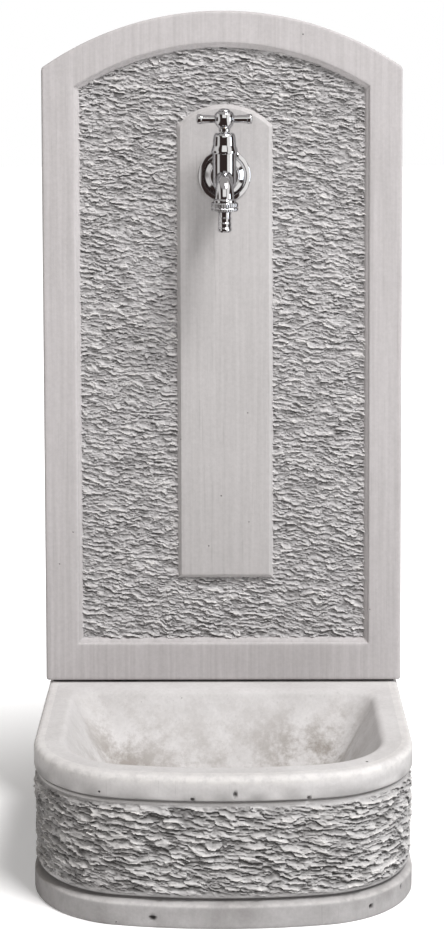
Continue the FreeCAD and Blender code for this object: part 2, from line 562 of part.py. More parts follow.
def handle():
    """Two-armed handle: necked hub, tapered arms with knobbed ends, a screw and its cap."""
    x, y = "feature_x", VALVE_Y
    bore, neck = "(stem_wide / 2 + thread_gap)", "neck_wide / 2"
    hub, crown = "hub_wide / 2", "hub_top_wide / 2"
    counter = "(screw_head_wide / 2 + head_gap)"
    ledge = "(stem_top + ledge_gap)"
    core_loop = [(bore, "collar_foot"), (neck, "collar_foot"), (neck, "hub_foot"),
                 (f"{hub} - cup_in", "hub_foot + cup_rise"),
                 (hub, "arm_z - hub_belt"), (hub, "arm_z + hub_belt"), (crown, "hub_top"),
                 (counter, "hub_top"),
                 (counter, ledge), ("screw_wide / 2 + screw_gap", ledge),
                 ("screw_wide / 2 + screw_gap", "stem_top"),
                 (bore, "stem_top")]
    core = DOC.addObject("PartDesign::Body", "handle_core")
    outline = sketch(core, "handle_profile", "XZ_Plane", [core_loop])
    made = core.newObject("PartDesign::Revolution", "handle_turning")
    made.Profile = outline
    made.ReferenceAxis = (outline, ["V_Axis"])
    made.Angle = 360
    place(core, x, y)
    pieces = [core]
    for side, turn in (("1", SIDEWAYS), ("-1", SIDEWAYS_BACK)):
        tag = "right" if side == "1" else "left"
        arm = DOC.addObject("Part::Cone", f"arm_{tag}")
        bind(arm, Radius1="arm_root / 2", Radius2="arm_tip / 2 - knob_step",
             Height="arm_span / 2 - knob_long - hub_wide / 4")
        place(arm, f"feature_x + {side} * hub_wide / 4", y, "arm_z", turn)
        knob = rod(f"knob_{tag}", "arm_tip", "knob_long - dome_long",
                   f"feature_x + {side} * (arm_span / 2 - knob_long)",
                   y, "arm_z", turn)
        dome = DOC.addObject("Part::Ellipsoid", f"dome_{tag}")
        bind(dome, Radius1="dome_long", Radius2="arm_tip / 2 - dome_in", Radius3="arm_tip / 2 - dome_in")
        place(dome, f"feature_x + {side} * (arm_span / 2 - dome_long)", y, "arm_z", turn)
        pieces += [arm, knob, dome]
    bore_rod = rod("handle_bore", f"stem_wide + {LOOSE}", "stem_top - collar_foot + overrun", x, y,
                   "collar_foot - overrun")
    keep(cut("t_handle", joined("handle_solid", pieces), bore_rod), "t_handle")
    shank = "(screw_wide / 2 - thread_gap)"
    head = "screw_head_wide / 2"
    turned("handle_screw", [("0", f"{ledge} - screw_long + tip_gap"),
                            (shank, f"{ledge} - screw_long + tip_gap"), (shank, ledge),
                            (head, ledge), (head, f"{ledge} + screw_head_tall"),
                            ("0", f"{ledge} + screw_head_tall")],
           x, y)
    cap, cap_foot = "cap_wide / 2", "hub_top"
    turned("handle_cap", [("0", cap_foot), (cap, cap_foot), (cap, f"{cap_foot} + cap_edge"),
                          (f"{cap} - cap_slope", f"{cap_foot} + cap_tall - cap_edge"),
                          (f"{cap} - cap_shoulder", f"{cap_foot} + cap_tall"),
                          ("0", f"{cap_foot} + cap_tall")], x, y)


def hose_union():
    """Round union nut, its seal and the ribbed tail that a hose is pushed over."""
    x, y = "feature_x", SPOUT_Y
    seal_top = "outlet_z"
    flange_top = f"({seal_top} - union_seal_thick)"
    lip_top = "(nut_foot + nut_lip)"
    ring("union_seal", "tail_flange", "tail_bore", "union_seal_thick", x, y, flange_top)
    rim, inside = "nut_wide / 2", "(outlet_wide / 2 + thread_gap)"
    turned("union_nut", [("tail_wide / 2 + nut_clear", "nut_foot"), (f"{rim} - nut_bevel", "nut_foot"),
                         (rim, "nut_foot + nut_bevel"),
                         (rim, "nut_foot + nut_tall - nut_bevel"),
                         (f"{rim} - nut_bevel", "nut_foot + nut_tall"),
                         (inside, "nut_foot + nut_tall"), (inside, lip_top),
                         ("tail_wide / 2 + nut_clear", lip_top)], x, y)
    bore, neck, barb = "tail_bore / 2", "tail_neck / 2", "tail_wide / 2"
    outer = [("tail_flange / 2", f"{lip_top} + flange_gap"), ("tail_flange / 2", flange_top),
             (bore, flange_top),
             (bore, "tail_foot"), (f"{neck} - lead_in", "tail_foot"), (barb, "tail_foot + lead_long")]
    for count in range(1, 4):
        outer += [(barb, f"tail_foot + {count} * barb_pitch - groove_fall"),
                  (neck, f"tail_foot + {count} * barb_pitch"),
                  (barb, f"tail_foot + {count} * barb_pitch + groove_rise")]
    outer += [(barb, "nut_foot - barb_stop"), (f"{barb} - tail_slim", "nut_foot - barb_stop"),
              (f"{barb} - tail_slim", f"{lip_top} + flange_gap")]
    turned("hose_tail", outer, x, y)


# ---------------------------------------------------------------- supply

def supply():
    """Extension through the slab, wall-plate elbow, riser, couplings, clips and their screws."""
    x = "feature_x"
    start = f"({STRIP_Y} + extension_set)"
    inside, wall = "(half_inch / 2 + thread_gap)", "extension_wide / 2"
    long = f"({CHANNEL_Y} - {start})"
    turned("extension", [("waterway / 2", f"-{long} + inlet_long + tip_gap"),
                         (inside, f"-{long} + inlet_long + tip_gap"),
                         (inside, f"-{long}"), (wall, f"-{long}"), (wall, "-shoulder_gap"),
                         ("half_inch / 2", "-shoulder_gap"),
                         ("half_inch / 2", "socket_depth - tip_gap"),
                         ("waterway / 2", "socket_depth - tip_gap")],
           x, CHANNEL_Y, "inlet_z", BACKWARD)
    hole = f"half_inch + {LOOSE}"
    solids = [
        block("elbow_plate", "plate_wide", "plate_skin", "plate_tall", f"{x} - plate_wide / 2", CHANNEL_Y,
              "inlet_z - plate_tall / 2"),
        rod("elbow_boss", "elbow_wide", f"elbow_back - {CHANNEL_Y}", x, CHANNEL_Y, "inlet_z", BACKWARD),
        rod("elbow_leg", "comp_body_wide - leg_slim", "inlet_z - elbow_foot", x, "riser_y", "elbow_foot"),
    ]
    hollows = [
        rod("elbow_socket", hole, "socket_depth", x, f"{CHANNEL_Y} - overrun", "inlet_z", BACKWARD),
        rod("elbow_way", "waterway", f"riser_y + way_meet - {CHANNEL_Y}", x, CHANNEL_Y, "inlet_z", BACKWARD),
        rod("elbow_down", "waterway", "inlet_z - elbow_foot + overrun", x, "riser_y", "elbow_foot - overrun"),
        rod("elbow_stop", f"riser_wide + {LOOSE}", "pipe_stop + overrun", x, "riser_y",
            "elbow_foot - overrun"),
    ]
    for side in ("-1", "1"):
        tag = "left" if side == "-1" else "right"
        hollows.append(rod(f"elbow_hole_{tag}", "plate_hole", "plate_skin + 2 * overrun",
                           f"{x} + {side} * plate_hole_x", f"{CHANNEL_Y} - overrun", "inlet_z", BACKWARD))
    keep(cut("wall_elbow", joined("elbow_solid", solids), joined("elbow_hollow", hollows)), "wall_elbow")

    ring("riser_pipe", "riser_wide", "riser_bore", "elbow_foot + pipe_in - riser_foot", x, "riser_y",
         "riser_foot")
    nut_bore = f"riser_wide + {LOOSE}"
    nuts, olives = [], []
    for tag, foot in (("top", "elbow_foot - olive_tall - comp_nut_tall"),
                      ("low", "riser_foot + adaptor_cup + olive_tall")):
        outer = hexagon(f"nut_{tag}_hex", "comp_nut_flats", "comp_nut_tall", x, "riser_y", foot)
        inner = rod(f"nut_{tag}_bore", nut_bore, "comp_nut_tall + 2 * overrun", x, "riser_y",
                    f"{foot} - overrun")
        nuts.append(cut(f"nut_{tag}", outer, inner))
    for tag, foot in (("top", "elbow_foot - olive_tall"), ("low", "riser_foot + adaptor_cup")):
        outer = rod(f"olive_{tag}_ring", "olive_wide", "olive_tall", x, "riser_y", foot)
        inner = rod(f"olive_{tag}_bore", nut_bore, "olive_tall + 2 * overrun", x, "riser_y",
                    f"{foot} - overrun")
        olives.append(cut(f"olive_{tag}", outer, inner))
    keep(joined("compression_nuts", nuts), "compression_nuts")
    keep(joined("olives", olives), "olives")
    wide, thread, way = "comp_body_wide / 2", "half_inch / 2", "waterway / 2"
    seat = "(riser_wide / 2 + thread_gap)"
    turned("inlet_adaptor", [(way, "adaptor_foot"), (thread, "adaptor_foot"),
                             (thread, "adaptor_foot + inlet_long"),
                             (wide, "adaptor_foot + inlet_long"), (wide, "riser_foot + adaptor_cup"),
                             (seat, "riser_foot + adaptor_cup"), (seat, "riser_foot - end_gap"),
                             (way, "riser_foot - end_gap")],
           x, "riser_y")

    clips, screws, plugs = [], [], []
    spots = []
    for tag, height in (("low", "clip_low_z"), ("high", "clip_high_z")):
        foot = f"{height} - clip_tall / 2"
        saddle = rod(f"clip_{tag}_saddle", "riser_wide + 2 * clip_skin + 2 * clip_gap", "clip_tall", x,
                     "riser_y", foot)
        web = block(f"clip_{tag}_web", "riser_wide + 2 * clip_skin + 2 * clip_gap", f"riser_y - {CHANNEL_Y}",
                    "clip_tall",
                    f"{x} - riser_wide / 2 - clip_skin - clip_gap", CHANNEL_Y, foot)
        strap = block(f"clip_{tag}_strap", "clip_wide", "strap_thick", "clip_tall", f"{x} - clip_wide / 2",
                      CHANNEL_Y, foot)
        bore = rod(f"clip_{tag}_bore", "riser_wide + clip_gap", "clip_tall + 2 * overrun", x, "riser_y",
                   f"{foot} - overrun")
        solid = joined(f"clip_{tag}_solid", [saddle, web, strap])
        hollows = [bore]
        for side in ("-1", "1"):
            spot = f"{x} + {side} * (clip_wide / 2 - clip_hole_edge)"
            end = "left" if side == "-1" else "right"
            hollows.append(rod(f"clip_{tag}_{end}", "plate_hole", "strap_thick + 2 * overrun", spot,
                               f"{CHANNEL_Y} - overrun", height, BACKWARD))
            spots.append((f"{tag}_{end}", spot, height, f"{CHANNEL_Y} + strap_thick"))
        clips.append(cut(f"clip_{tag}", solid, joined(f"clip_{tag}_hollow", hollows)))
    for side in ("-1", "1"):
        end = "left" if side == "-1" else "right"
        spots.append((f"elbow_{end}", f"{x} + {side} * plate_hole_x", "inlet_z", f"{CHANNEL_Y} + plate_skin"))
    for tag, spot, height, top in spots:
        shank = rod(f"screw_{tag}_shank", "screw_shank", f"screw_reach - screw_short + {top} - {CHANNEL_Y}",
                    spot, top,
                    height, FORWARD)
        head = rod(f"screw_{tag}_head", "fixing_head_wide", "fixing_head_tall", spot, top, height, BACKWARD)
        screws.append(joined(f"screw_{tag}", [shank, head]))
        shell = rod(f"plug_{tag}_shell", "plug_wide", "screw_reach - end_gap", spot, CHANNEL_Y, height,
                    FORWARD)
        bore = rod(f"plug_{tag}_bore", f"screw_shank + {LOOSE}", "screw_reach - screw_short + overrun", spot,
                   f"{CHANNEL_Y} + overrun", height, FORWARD)
        plugs.append(cut(f"plug_{tag}", shell, bore))
    keep(joined("pipe_clips", clips), "pipe_clips")
    keep(joined("fixing_screws", screws), "fixing_screws")
    keep(joined("screw_plugs", plugs), "screw_plugs")


# ---------------------------------------------------------------- drain

def drain():
    """Strainer, seals, threaded outlet tube, back nut, centre screw and the pipe to the rear."""
    y = "drain_y"
    rim, hole = "strainer_wide / 2", "strainer_hole"
    top = "bowl_floor"
    under = "(bowl_floor - strainer_thick)"
    body = body_of("drain_strainer")
    place(body, y=y)
    spare = "drain_screw_wide + 2 * thread_gap"
    extrude(body, "Pad", "disc", [circle("strainer_wide"), circle(spare)], "strainer_thick", offset=under)
    extrude(body, "Pocket", "slot", [circle(hole, "0", "strainer_ring / 2")], "strainer_thick", offset=top)
    first = body.Tip
    pattern = body.newObject("PartDesign::PolarPattern", "slots")
    pattern.Originals = [first]
    pattern.Axis = (first.Profile[0], ["N_Axis"])
    pattern.Angle = 360
    pattern.Occurrences = 8
    body.Tip = pattern
    DOC.recompute()
    ring("strainer_seal", "strainer_wide - 2 * seal_inset", "drain_hole - 2 * end_gap", "drain_seal_thick",
         "0", y,
         f"{under} - drain_seal_thick")
    tube_top = f"({under} - tube_gap)"
    post = "(drain_screw_wide / 2 - thread_gap)"
    tube = rod("tube_shell", "tube_wide", f"{tube_top} - tube_foot", "0", y, "tube_foot")
    tube_way = rod("tube_way", "tube_bore", f"{tube_top} - tube_foot + 2 * overrun", "0", y,
                   "tube_foot - overrun")
    bar = block("tube_bar", "tube_bore + 2 * overrun", "bridge_wide", "bridge_tall",
                "-tube_bore / 2 - overrun", f"{y} - bridge_wide / 2", f"{tube_top} - bridge_drop")
    bar_hole = rod("tube_bar_hole", spare, "bridge_tall + 2 * overrun", "0", y,
                   f"{tube_top} - bridge_drop - overrun")
    exit_hole = rod("tube_exit", f"drain_pipe_wide + {LOOSE}", "tube_wide", "0", y, "drain_pipe_z", BACKWARD)
    floor = rod("tube_floor", "tube_wide", "tube_base", "0", y,
                "drain_pipe_z - drain_pipe_wide / 2 - tube_base - end_gap")
    lower = rod("tube_lower", "tube_wide", "tube_foot - drain_pipe_z + drain_pipe_wide / 2 + overrun", "0", y,
                "drain_pipe_z - drain_pipe_wide / 2 - overrun")
    lower_way = rod("tube_lower_way", "tube_bore", "tube_foot", "0", y,
                    "drain_pipe_z - drain_pipe_wide / 2 - end_gap")
    solid = joined("tube_solid", [cut("tube_hollow", joined("tube_outer", [tube, lower, floor]),
                                      joined("tube_inner", [tube_way, lower_way])), bar])
    keep(cut("drain_tube", solid, joined("tube_holes", [bar_hole, exit_hole])), "drain_tube")
    nut_hole = f"tube_wide + {LOOSE}"
    ring("drain_seal", "drain_seal_wide", nut_hole, "drain_seal_thick", "0", y,
         "drain_pocket_tall - drain_seal_thick")
    nut_foot = "drain_pocket_tall - drain_seal_thick - backnut_tall"
    nut = hexagon("backnut_hex", "backnut_flats", "backnut_tall", "0", y, nut_foot)
    nut_bore = rod("backnut_bore", nut_hole, "backnut_tall + 2 * overrun", "0", y, f"{nut_foot} - overrun")
    keep(cut("drain_backnut", nut, nut_bore), "drain_backnut")
    head = "drain_screw_head / 2"
    turned("drain_screw", [("0", f"{tube_top} - drain_screw_drop"), (post, f"{tube_top} - drain_screw_drop"),
                           (post, f"{top} + thread_gap"),
                           (head, f"{top} + thread_gap"), (f"{head} - head_bevel", f"{top} + head_edge"),
                           ("0", f"{top} + head_top")], "0", y)
    pipe, pipe_bore, collar = "drain_pipe_wide / 2", "drain_pipe_bore / 2", "pipe_collar_wide / 2"
    long = f"({BACK_Y} - drain_y - tube_bore / 2)"
    turned("drain_pipe", [(pipe_bore, "0"), (pipe, "0"), (pipe, f"{long} - spigot_long - pipe_collar_long"),
                          (collar, f"{long} - spigot_long - pipe_collar_long"),
                          (collar, f"{long} - spigot_long"),
                          (pipe, f"{long} - spigot_long"), (pipe, long), (pipe_bore, long)],
           "0", "drain_y + tube_bore / 2", "drain_pipe_z", BACKWARD)


back_slab()
basin()
bedding()
tie_sockets()
tap_inlet()
tap_body()
headworks()
valve()
handle()
hose_union()
supply()
drain()
DOC.recompute()

for item in DOC.Objects:
    if {"Invalid", "Error"} & set(item.State):
        raise RuntimeError(f"{item.Label} failed: {item.State}")
for node in NODES:
    if node.Shape.isNull() or not node.Shape.isValid() or not node.Shape.Solids:
        raise RuntimeError(f"{node.Label} has no sound solid")

os.makedirs("parts", exist_ok=True)
for node in NODES:
    node.Shape.exportStep(f"parts/{node.Label}.step")
    box = node.Shape.BoundBox
    print(f"{node.Label:18} solids {len(node.Shape.Solids)}  x {box.XMin:7.1f} {box.XMax:7.1f}"
          f"  y {box.YMin:7.1f} {box.YMax:7.1f}  z {box.ZMin:7.1f} {box.ZMax:7.1f}")
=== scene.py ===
import bmesh
import bpy
import numpy as np
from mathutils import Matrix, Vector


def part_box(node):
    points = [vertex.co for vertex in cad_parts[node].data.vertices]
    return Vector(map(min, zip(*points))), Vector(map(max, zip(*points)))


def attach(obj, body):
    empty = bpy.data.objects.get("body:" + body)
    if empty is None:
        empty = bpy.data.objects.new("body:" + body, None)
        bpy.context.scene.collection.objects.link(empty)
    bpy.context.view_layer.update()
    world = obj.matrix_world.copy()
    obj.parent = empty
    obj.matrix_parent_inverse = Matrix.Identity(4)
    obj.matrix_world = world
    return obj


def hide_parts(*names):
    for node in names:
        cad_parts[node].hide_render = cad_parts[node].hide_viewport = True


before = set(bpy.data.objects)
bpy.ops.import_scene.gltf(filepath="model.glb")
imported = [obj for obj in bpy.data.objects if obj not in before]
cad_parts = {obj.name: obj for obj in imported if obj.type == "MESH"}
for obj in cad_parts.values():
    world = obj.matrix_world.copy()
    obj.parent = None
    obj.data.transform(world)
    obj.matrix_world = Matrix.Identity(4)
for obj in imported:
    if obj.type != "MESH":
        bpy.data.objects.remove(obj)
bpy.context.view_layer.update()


# ---------------------------------------------------------------- basin: bowl and rim
# The basin is one concrete casting, poured upside down in a mould, so its rim and bowl are the smooth
# moulded faces. The bowl slopes from a soft lip to a small floor round the drain. It stands on the
# ground under its own weight, and the back slab stands on its rear rim.

basin_low, basin_high = np.array(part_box("basin"))
drain_low, drain_high = np.array(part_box("drain_strainer"))
slab_low, slab_high = np.array(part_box("back_slab"))
HALF = basin_high[0]
BACK, FRONT, RIM_TOP = basin_high[1], basin_low[1], basin_high[2]
CORNER, BOW = 0.122, 0.600          # radii of the front corners and of the bowed front
RIM_INSET = 0.012                   # where the bowl's surface meets the rim's rounded front edge
UNDER_SLAB = slab_low[1] + 0.014    # the rim runs this far back under the slab
DRAIN_Y, DRAIN_TOP = (drain_low[1] + drain_high[1]) / 2, drain_high[2]


def carried_line(stretches, start, heading, counts):
    """Points and outward normals along a line of straights and arcs, each given as (length, turn).

    The heading grows evenly by the turn over each stretch, the line is the running sum of its headings,
    and the outward normal lies a quarter turn to the right of the heading.
    """
    lengths = np.array([length for length, turn in stretches])
    marks = np.concatenate([[0], np.cumsum(lengths)])
    headings = heading + np.concatenate([[0], np.cumsum([turn for length, turn in stretches])])
    fine = np.linspace(0, marks[-1], 30000)
    angle = np.interp((fine[1:] + fine[:-1]) / 2, marks, headings)
    step = fine[1] - fine[0]
    x = start[0] + np.concatenate([[0], np.cumsum(np.cos(angle)) * step])
    y = start[1] + np.concatenate([[0], np.cumsum(np.sin(angle)) * step])
    parts = [np.linspace(low, high, count, endpoint=False)
             for low, high, count in zip(marks[:-1], marks[1:], counts)]
    at = np.concatenate(parts + [marks[-1:]])
    turned = np.interp(at, marks, headings)
    points = np.stack([np.interp(at, fine, x), np.interp(at, fine, y)], axis=-1)
    return at, points, np.stack([np.sin(turned), -np.cos(turned)], axis=-1)


def trough_line(half, back, front, corner, bow, back_corner, counts):
    """A trough's plan from its rear left corner round the front to its rear right corner.

    The bow's centre lies its radius behind the front, and each corner arc meets it where
    sin(swing) = (half - corner) / (bow - corner). With a back corner the loop closes along the back.
    """
    swing = np.arcsin((half - corner) / (bow - corner))
    side_end = front + bow - (bow - corner) * np.cos(swing)
    side = (back - back_corner - side_end, 0)
    bend = (corner * (np.pi / 2 - swing), np.pi / 2 - swing)
    u_shape = [side, bend, (2 * bow * swing, 2 * swing), bend, side]
    if back_corner == 0:
        return carried_line(u_shape, (-half, back), -np.pi / 2, counts)
    turn = (back_corner * np.pi / 2, np.pi / 2)
    closed = [(2 * (half - back_corner), 0), turn] + u_shape + [turn]
    at, points, normals = carried_line(closed, (half - back_corner, back), np.pi, counts)
    return at[:-1], points[:-1], normals[:-1]


def surface(name, grid, around=False, keep=None, crisp=40, **marks):
    """A mesh through a grid of points (rows, columns, 3), one quad per cell, closed along its columns if
    around is true. With columns anticlockwise and rows going up the outside, faces point outwards."""
    rows, columns = grid.shape[:2]
    index = np.arange(rows * columns).reshape(rows, columns)
    right = np.roll(index, -1, axis=1)
    quads = np.stack([index[:-1], right[:-1], right[1:], index[1:]], axis=-1)
    if not around:
        quads = quads[:, :-1]
    chosen = quads.reshape(-1, 4) if keep is None else quads[keep]
    used, faces = np.unique(chosen, return_inverse=True)
    faces = faces.reshape(-1, 4)
    mesh = bpy.data.meshes.new(name)
    mesh.vertices.add(len(used))
    mesh.vertices.foreach_set("co", grid.reshape(-1, 3)[used].astype(np.float32).ravel())
    mesh.loops.add(faces.size)
    mesh.loops.foreach_set("vertex_index", faces.astype(np.int32).ravel())
    mesh.polygons.add(len(faces))
    mesh.polygons.foreach_set("loop_start", np.arange(0, faces.size, 4, dtype=np.int32))
    mesh.update(calc_edges=True)
    for label, values in marks.items():
        layer = mesh.attributes.new(label, "FLOAT", "POINT")
        values = np.broadcast_to(values, (rows, columns)).ravel()[used]
        layer.data.foreach_set("value", values.astype(np.float32))
    piece = bpy.data.objects.new(name, mesh)
    bpy.context.scene.collection.objects.link(piece)
    finish_mesh(mesh, crisp)
    return piece


def finish_mesh(mesh, crisp):
    """Merge doubled points, so that poles and seams are closed, and shade smooth except over sharp bends."""
    shape = bmesh.new()
    shape.from_mesh(mesh)
    bmesh.ops.remove_doubles(shape, verts=shape.verts, dist=2e-6)
    shape.to_mesh(mesh)
    shape.free()
    mesh.shade_smooth()
    mesh.set_sharp_from_angle(angle=np.radians(crisp))


def noise(u, v, seed):
    """Smooth random hills, 0 to 1: each whole-number crossing of u and v has a scrambled height, and a
    point takes a blend of its four crossings, weighted by 3t^2 - 2t^3."""
    left, low = np.floor(u).astype(np.int64), np.floor(v).astype(np.int64)

    def height(i, j):
        bits = (i * 374761393 + j * 668265263 + seed * 144665) & 0xFFFFFFFF
        bits = ((bits ^ (bits >> 13)) * 1274126177) & 0xFFFFFFFF
        return ((bits ^ (bits >> 16)) & 0xFFFFFFFF) / 0xFFFFFFFF

    s, t = u - left, v - low
    s, t = s * s * (3 - 2 * s), t * t * (3 - 2 * t)
    bottom = height(left, low) * (1 - s) + height(left + 1, low) * s
    top = height(left, low + 1) * (1 - s) + height(left + 1, low + 1) * s
    return bottom * (1 - t) + top * t


def blended(lines, shares):
    """Rows between successive lines: share 1.3 is three tenths of the way from line 1 to line 2."""
    stack = np.stack(lines)
    shares = np.minimum(shares, len(lines) - 1 - 1e-9)
    before = shares.astype(int)
    part = (shares - before)[:, None, None]
    return stack[before] * (1 - part) + stack[before + 1] * part


def at_height(plan, height):
    """Plan points (.., 2) with one height, a height for each row, or a height for each point."""
    height = np.asarray(height, float)
    if height.ndim == 1:
        height = height[:, None]
    return np.concatenate([plan, np.broadcast_to(height, plan.shape[:-1])[..., None]], axis=-1)


def averaged(grid, reach):
    """Each row averaged with the rows up to reach away, ends held, which rounds the bends between rows."""
    padded = np.pad(grid, ((reach, reach), (0, 0), (0, 0)), mode="edge")
    return sum(padded[shift:shift + len(grid)] for shift in range(2 * reach + 1)) / (2 * reach + 1)


BOWL_COUNTS = (70, 14, 44, 60, 96, 60, 44, 14)
HAND_WAVE = 0.0022                  # how far the hand-smoothed bowl strays from its true shape
MOUTH = dict(half=0.179, back=0.106, front=-0.163, corner=0.089, bow=0.567, back_corner=0.030)
FLOOR = dict(half=0.116, back=0.032, front=-0.112, corner=0.050, bow=0.420, back_corner=0.024)

_, rim_line, _ = trough_line(HALF - RIM_INSET, UNDER_SLAB, FRONT + RIM_INSET, CORNER - RIM_INSET,
                             BOW - RIM_INSET, 0.001, BOWL_COUNTS)
_, mouth_line, _ = trough_line(**MOUTH, counts=BOWL_COUNTS)
_, floor_line, _ = trough_line(**FLOOR, counts=BOWL_COUNTS)
bearing = np.arctan2(floor_line[:, 1] - DRAIN_Y, floor_line[:, 0])
drain_edge = (drain_high[0] - drain_low[0]) / 2 + 0.0004
drain_line = np.stack([np.cos(bearing), np.sin(bearing)], axis=-1) * drain_edge + [0, DRAIN_Y]
shares = np.concatenate([np.linspace(0, 1, 13, endpoint=False), np.linspace(1, 2, 66, endpoint=False),
                         np.linspace(2, 3, 22), [3.0, 3.0]])
bowl_depth = np.interp(shares, [0, 1, 2, 3], [RIM_TOP, RIM_TOP, DRAIN_TOP + 0.0015, DRAIN_TOP - 0.0002])
bowl_depth[-1] -= 0.003
bowl_grid = at_height(blended([rim_line, mouth_line, floor_line, drain_line], shares), bowl_depth)
bowl_grid[1:-3] = averaged(bowl_grid, 3)[1:-3]
hand = noise(bowl_grid[..., 0] * 28, bowl_grid[..., 1] * 28 + bowl_grid[..., 2] * 30, 5) - 0.5
inner = np.clip(shares - 0.9, 0, 1)[:, None] * np.clip(3 - shares, 0, 1)[:, None]
bowl_grid[..., 2] += hand * inner * HAND_WAVE


def near(x, y, reach):
    """How near each point of the bowl is to a place in plan: exp(-(distance / reach)^2)."""
    return np.exp(-(np.hypot(bowl_grid[..., 0] - x, bowl_grid[..., 1] - y) / reach) ** 2)


damp = 0.85 + 1.2 * near(0.115, 0.075, 0.06) + 0.9 * near(-0.135, 0.075, 0.05)
damp = np.clip(np.clip(shares - 0.95, 0, 1)[:, None] * damp, 0, 1.2)
basin_bowl = surface("basin_bowl", bowl_grid, around=True, crisp=60, damp=damp)


def node(tree, kind, inputs=None, **settings):
    """Add a shader node. inputs gives sockets, by name or number, a value or another node's output."""
    made = tree.nodes.new(kind)
    for key, value in settings.items():
        setattr(made, key, value)
    for socket, value in (inputs or {}).items():
        if isinstance(value, bpy.types.NodeSocket):
            tree.links.new(value, made.inputs[socket])
        else:
            made.inputs[socket].default_value = value
    return made


def sums(tree, operation, first, second, third=0.0):
    """One Math node's result."""
    return node(tree, "ShaderNodeMath", {0: first, 1: second, 2: third}, operation=operation).outputs[0]


def mixed(tree, share, first, second, blend="MIX"):
    """One colour laid over another by a share."""
    made = node(tree, "ShaderNodeMix", {0: share, 6: first, 7: second}, data_type="RGBA", blend_type=blend)
    return made.outputs[2]


def ranged(tree, value, low, high, start=0.0, end=1.0):
    """A value carried smoothly from one range to another."""
    return node(tree, "ShaderNodeMapRange", {0: value, 1: low, 2: high, 3: start, 4: end},
                interpolation_type="SMOOTHSTEP").outputs[0]


def hills(tree, vector, scale, detail, roughness=0.6):
    """One Noise node's value."""
    return node(tree, "ShaderNodeTexNoise", {"Vector": vector, "Scale": scale, "Detail": detail,
                                             "Roughness": roughness}).outputs[0]


def stretched(tree, vector, scale, turn=(0, 0, 0)):
    """Coordinates turned and stretched, for streaks."""
    return node(tree, "ShaderNodeMapping", {"Vector": vector, "Scale": scale, "Rotation": turn}).outputs[0]


def effect(name, inputs, outputs):
    """A node group with named sockets and nothing in it yet: its tree, its inputs and its outputs."""
    tree = bpy.data.node_groups.new(name, "ShaderNodeTree")
    for label, kind, value in inputs:
        tree.interface.new_socket(label, in_out="INPUT", socket_type=kind).default_value = value
    for label, kind in outputs:
        tree.interface.new_socket(label, in_out="OUTPUT", socket_type=kind)
    return tree, tree.nodes.new("NodeGroupInput").outputs, tree.nodes.new("NodeGroupOutput").inputs


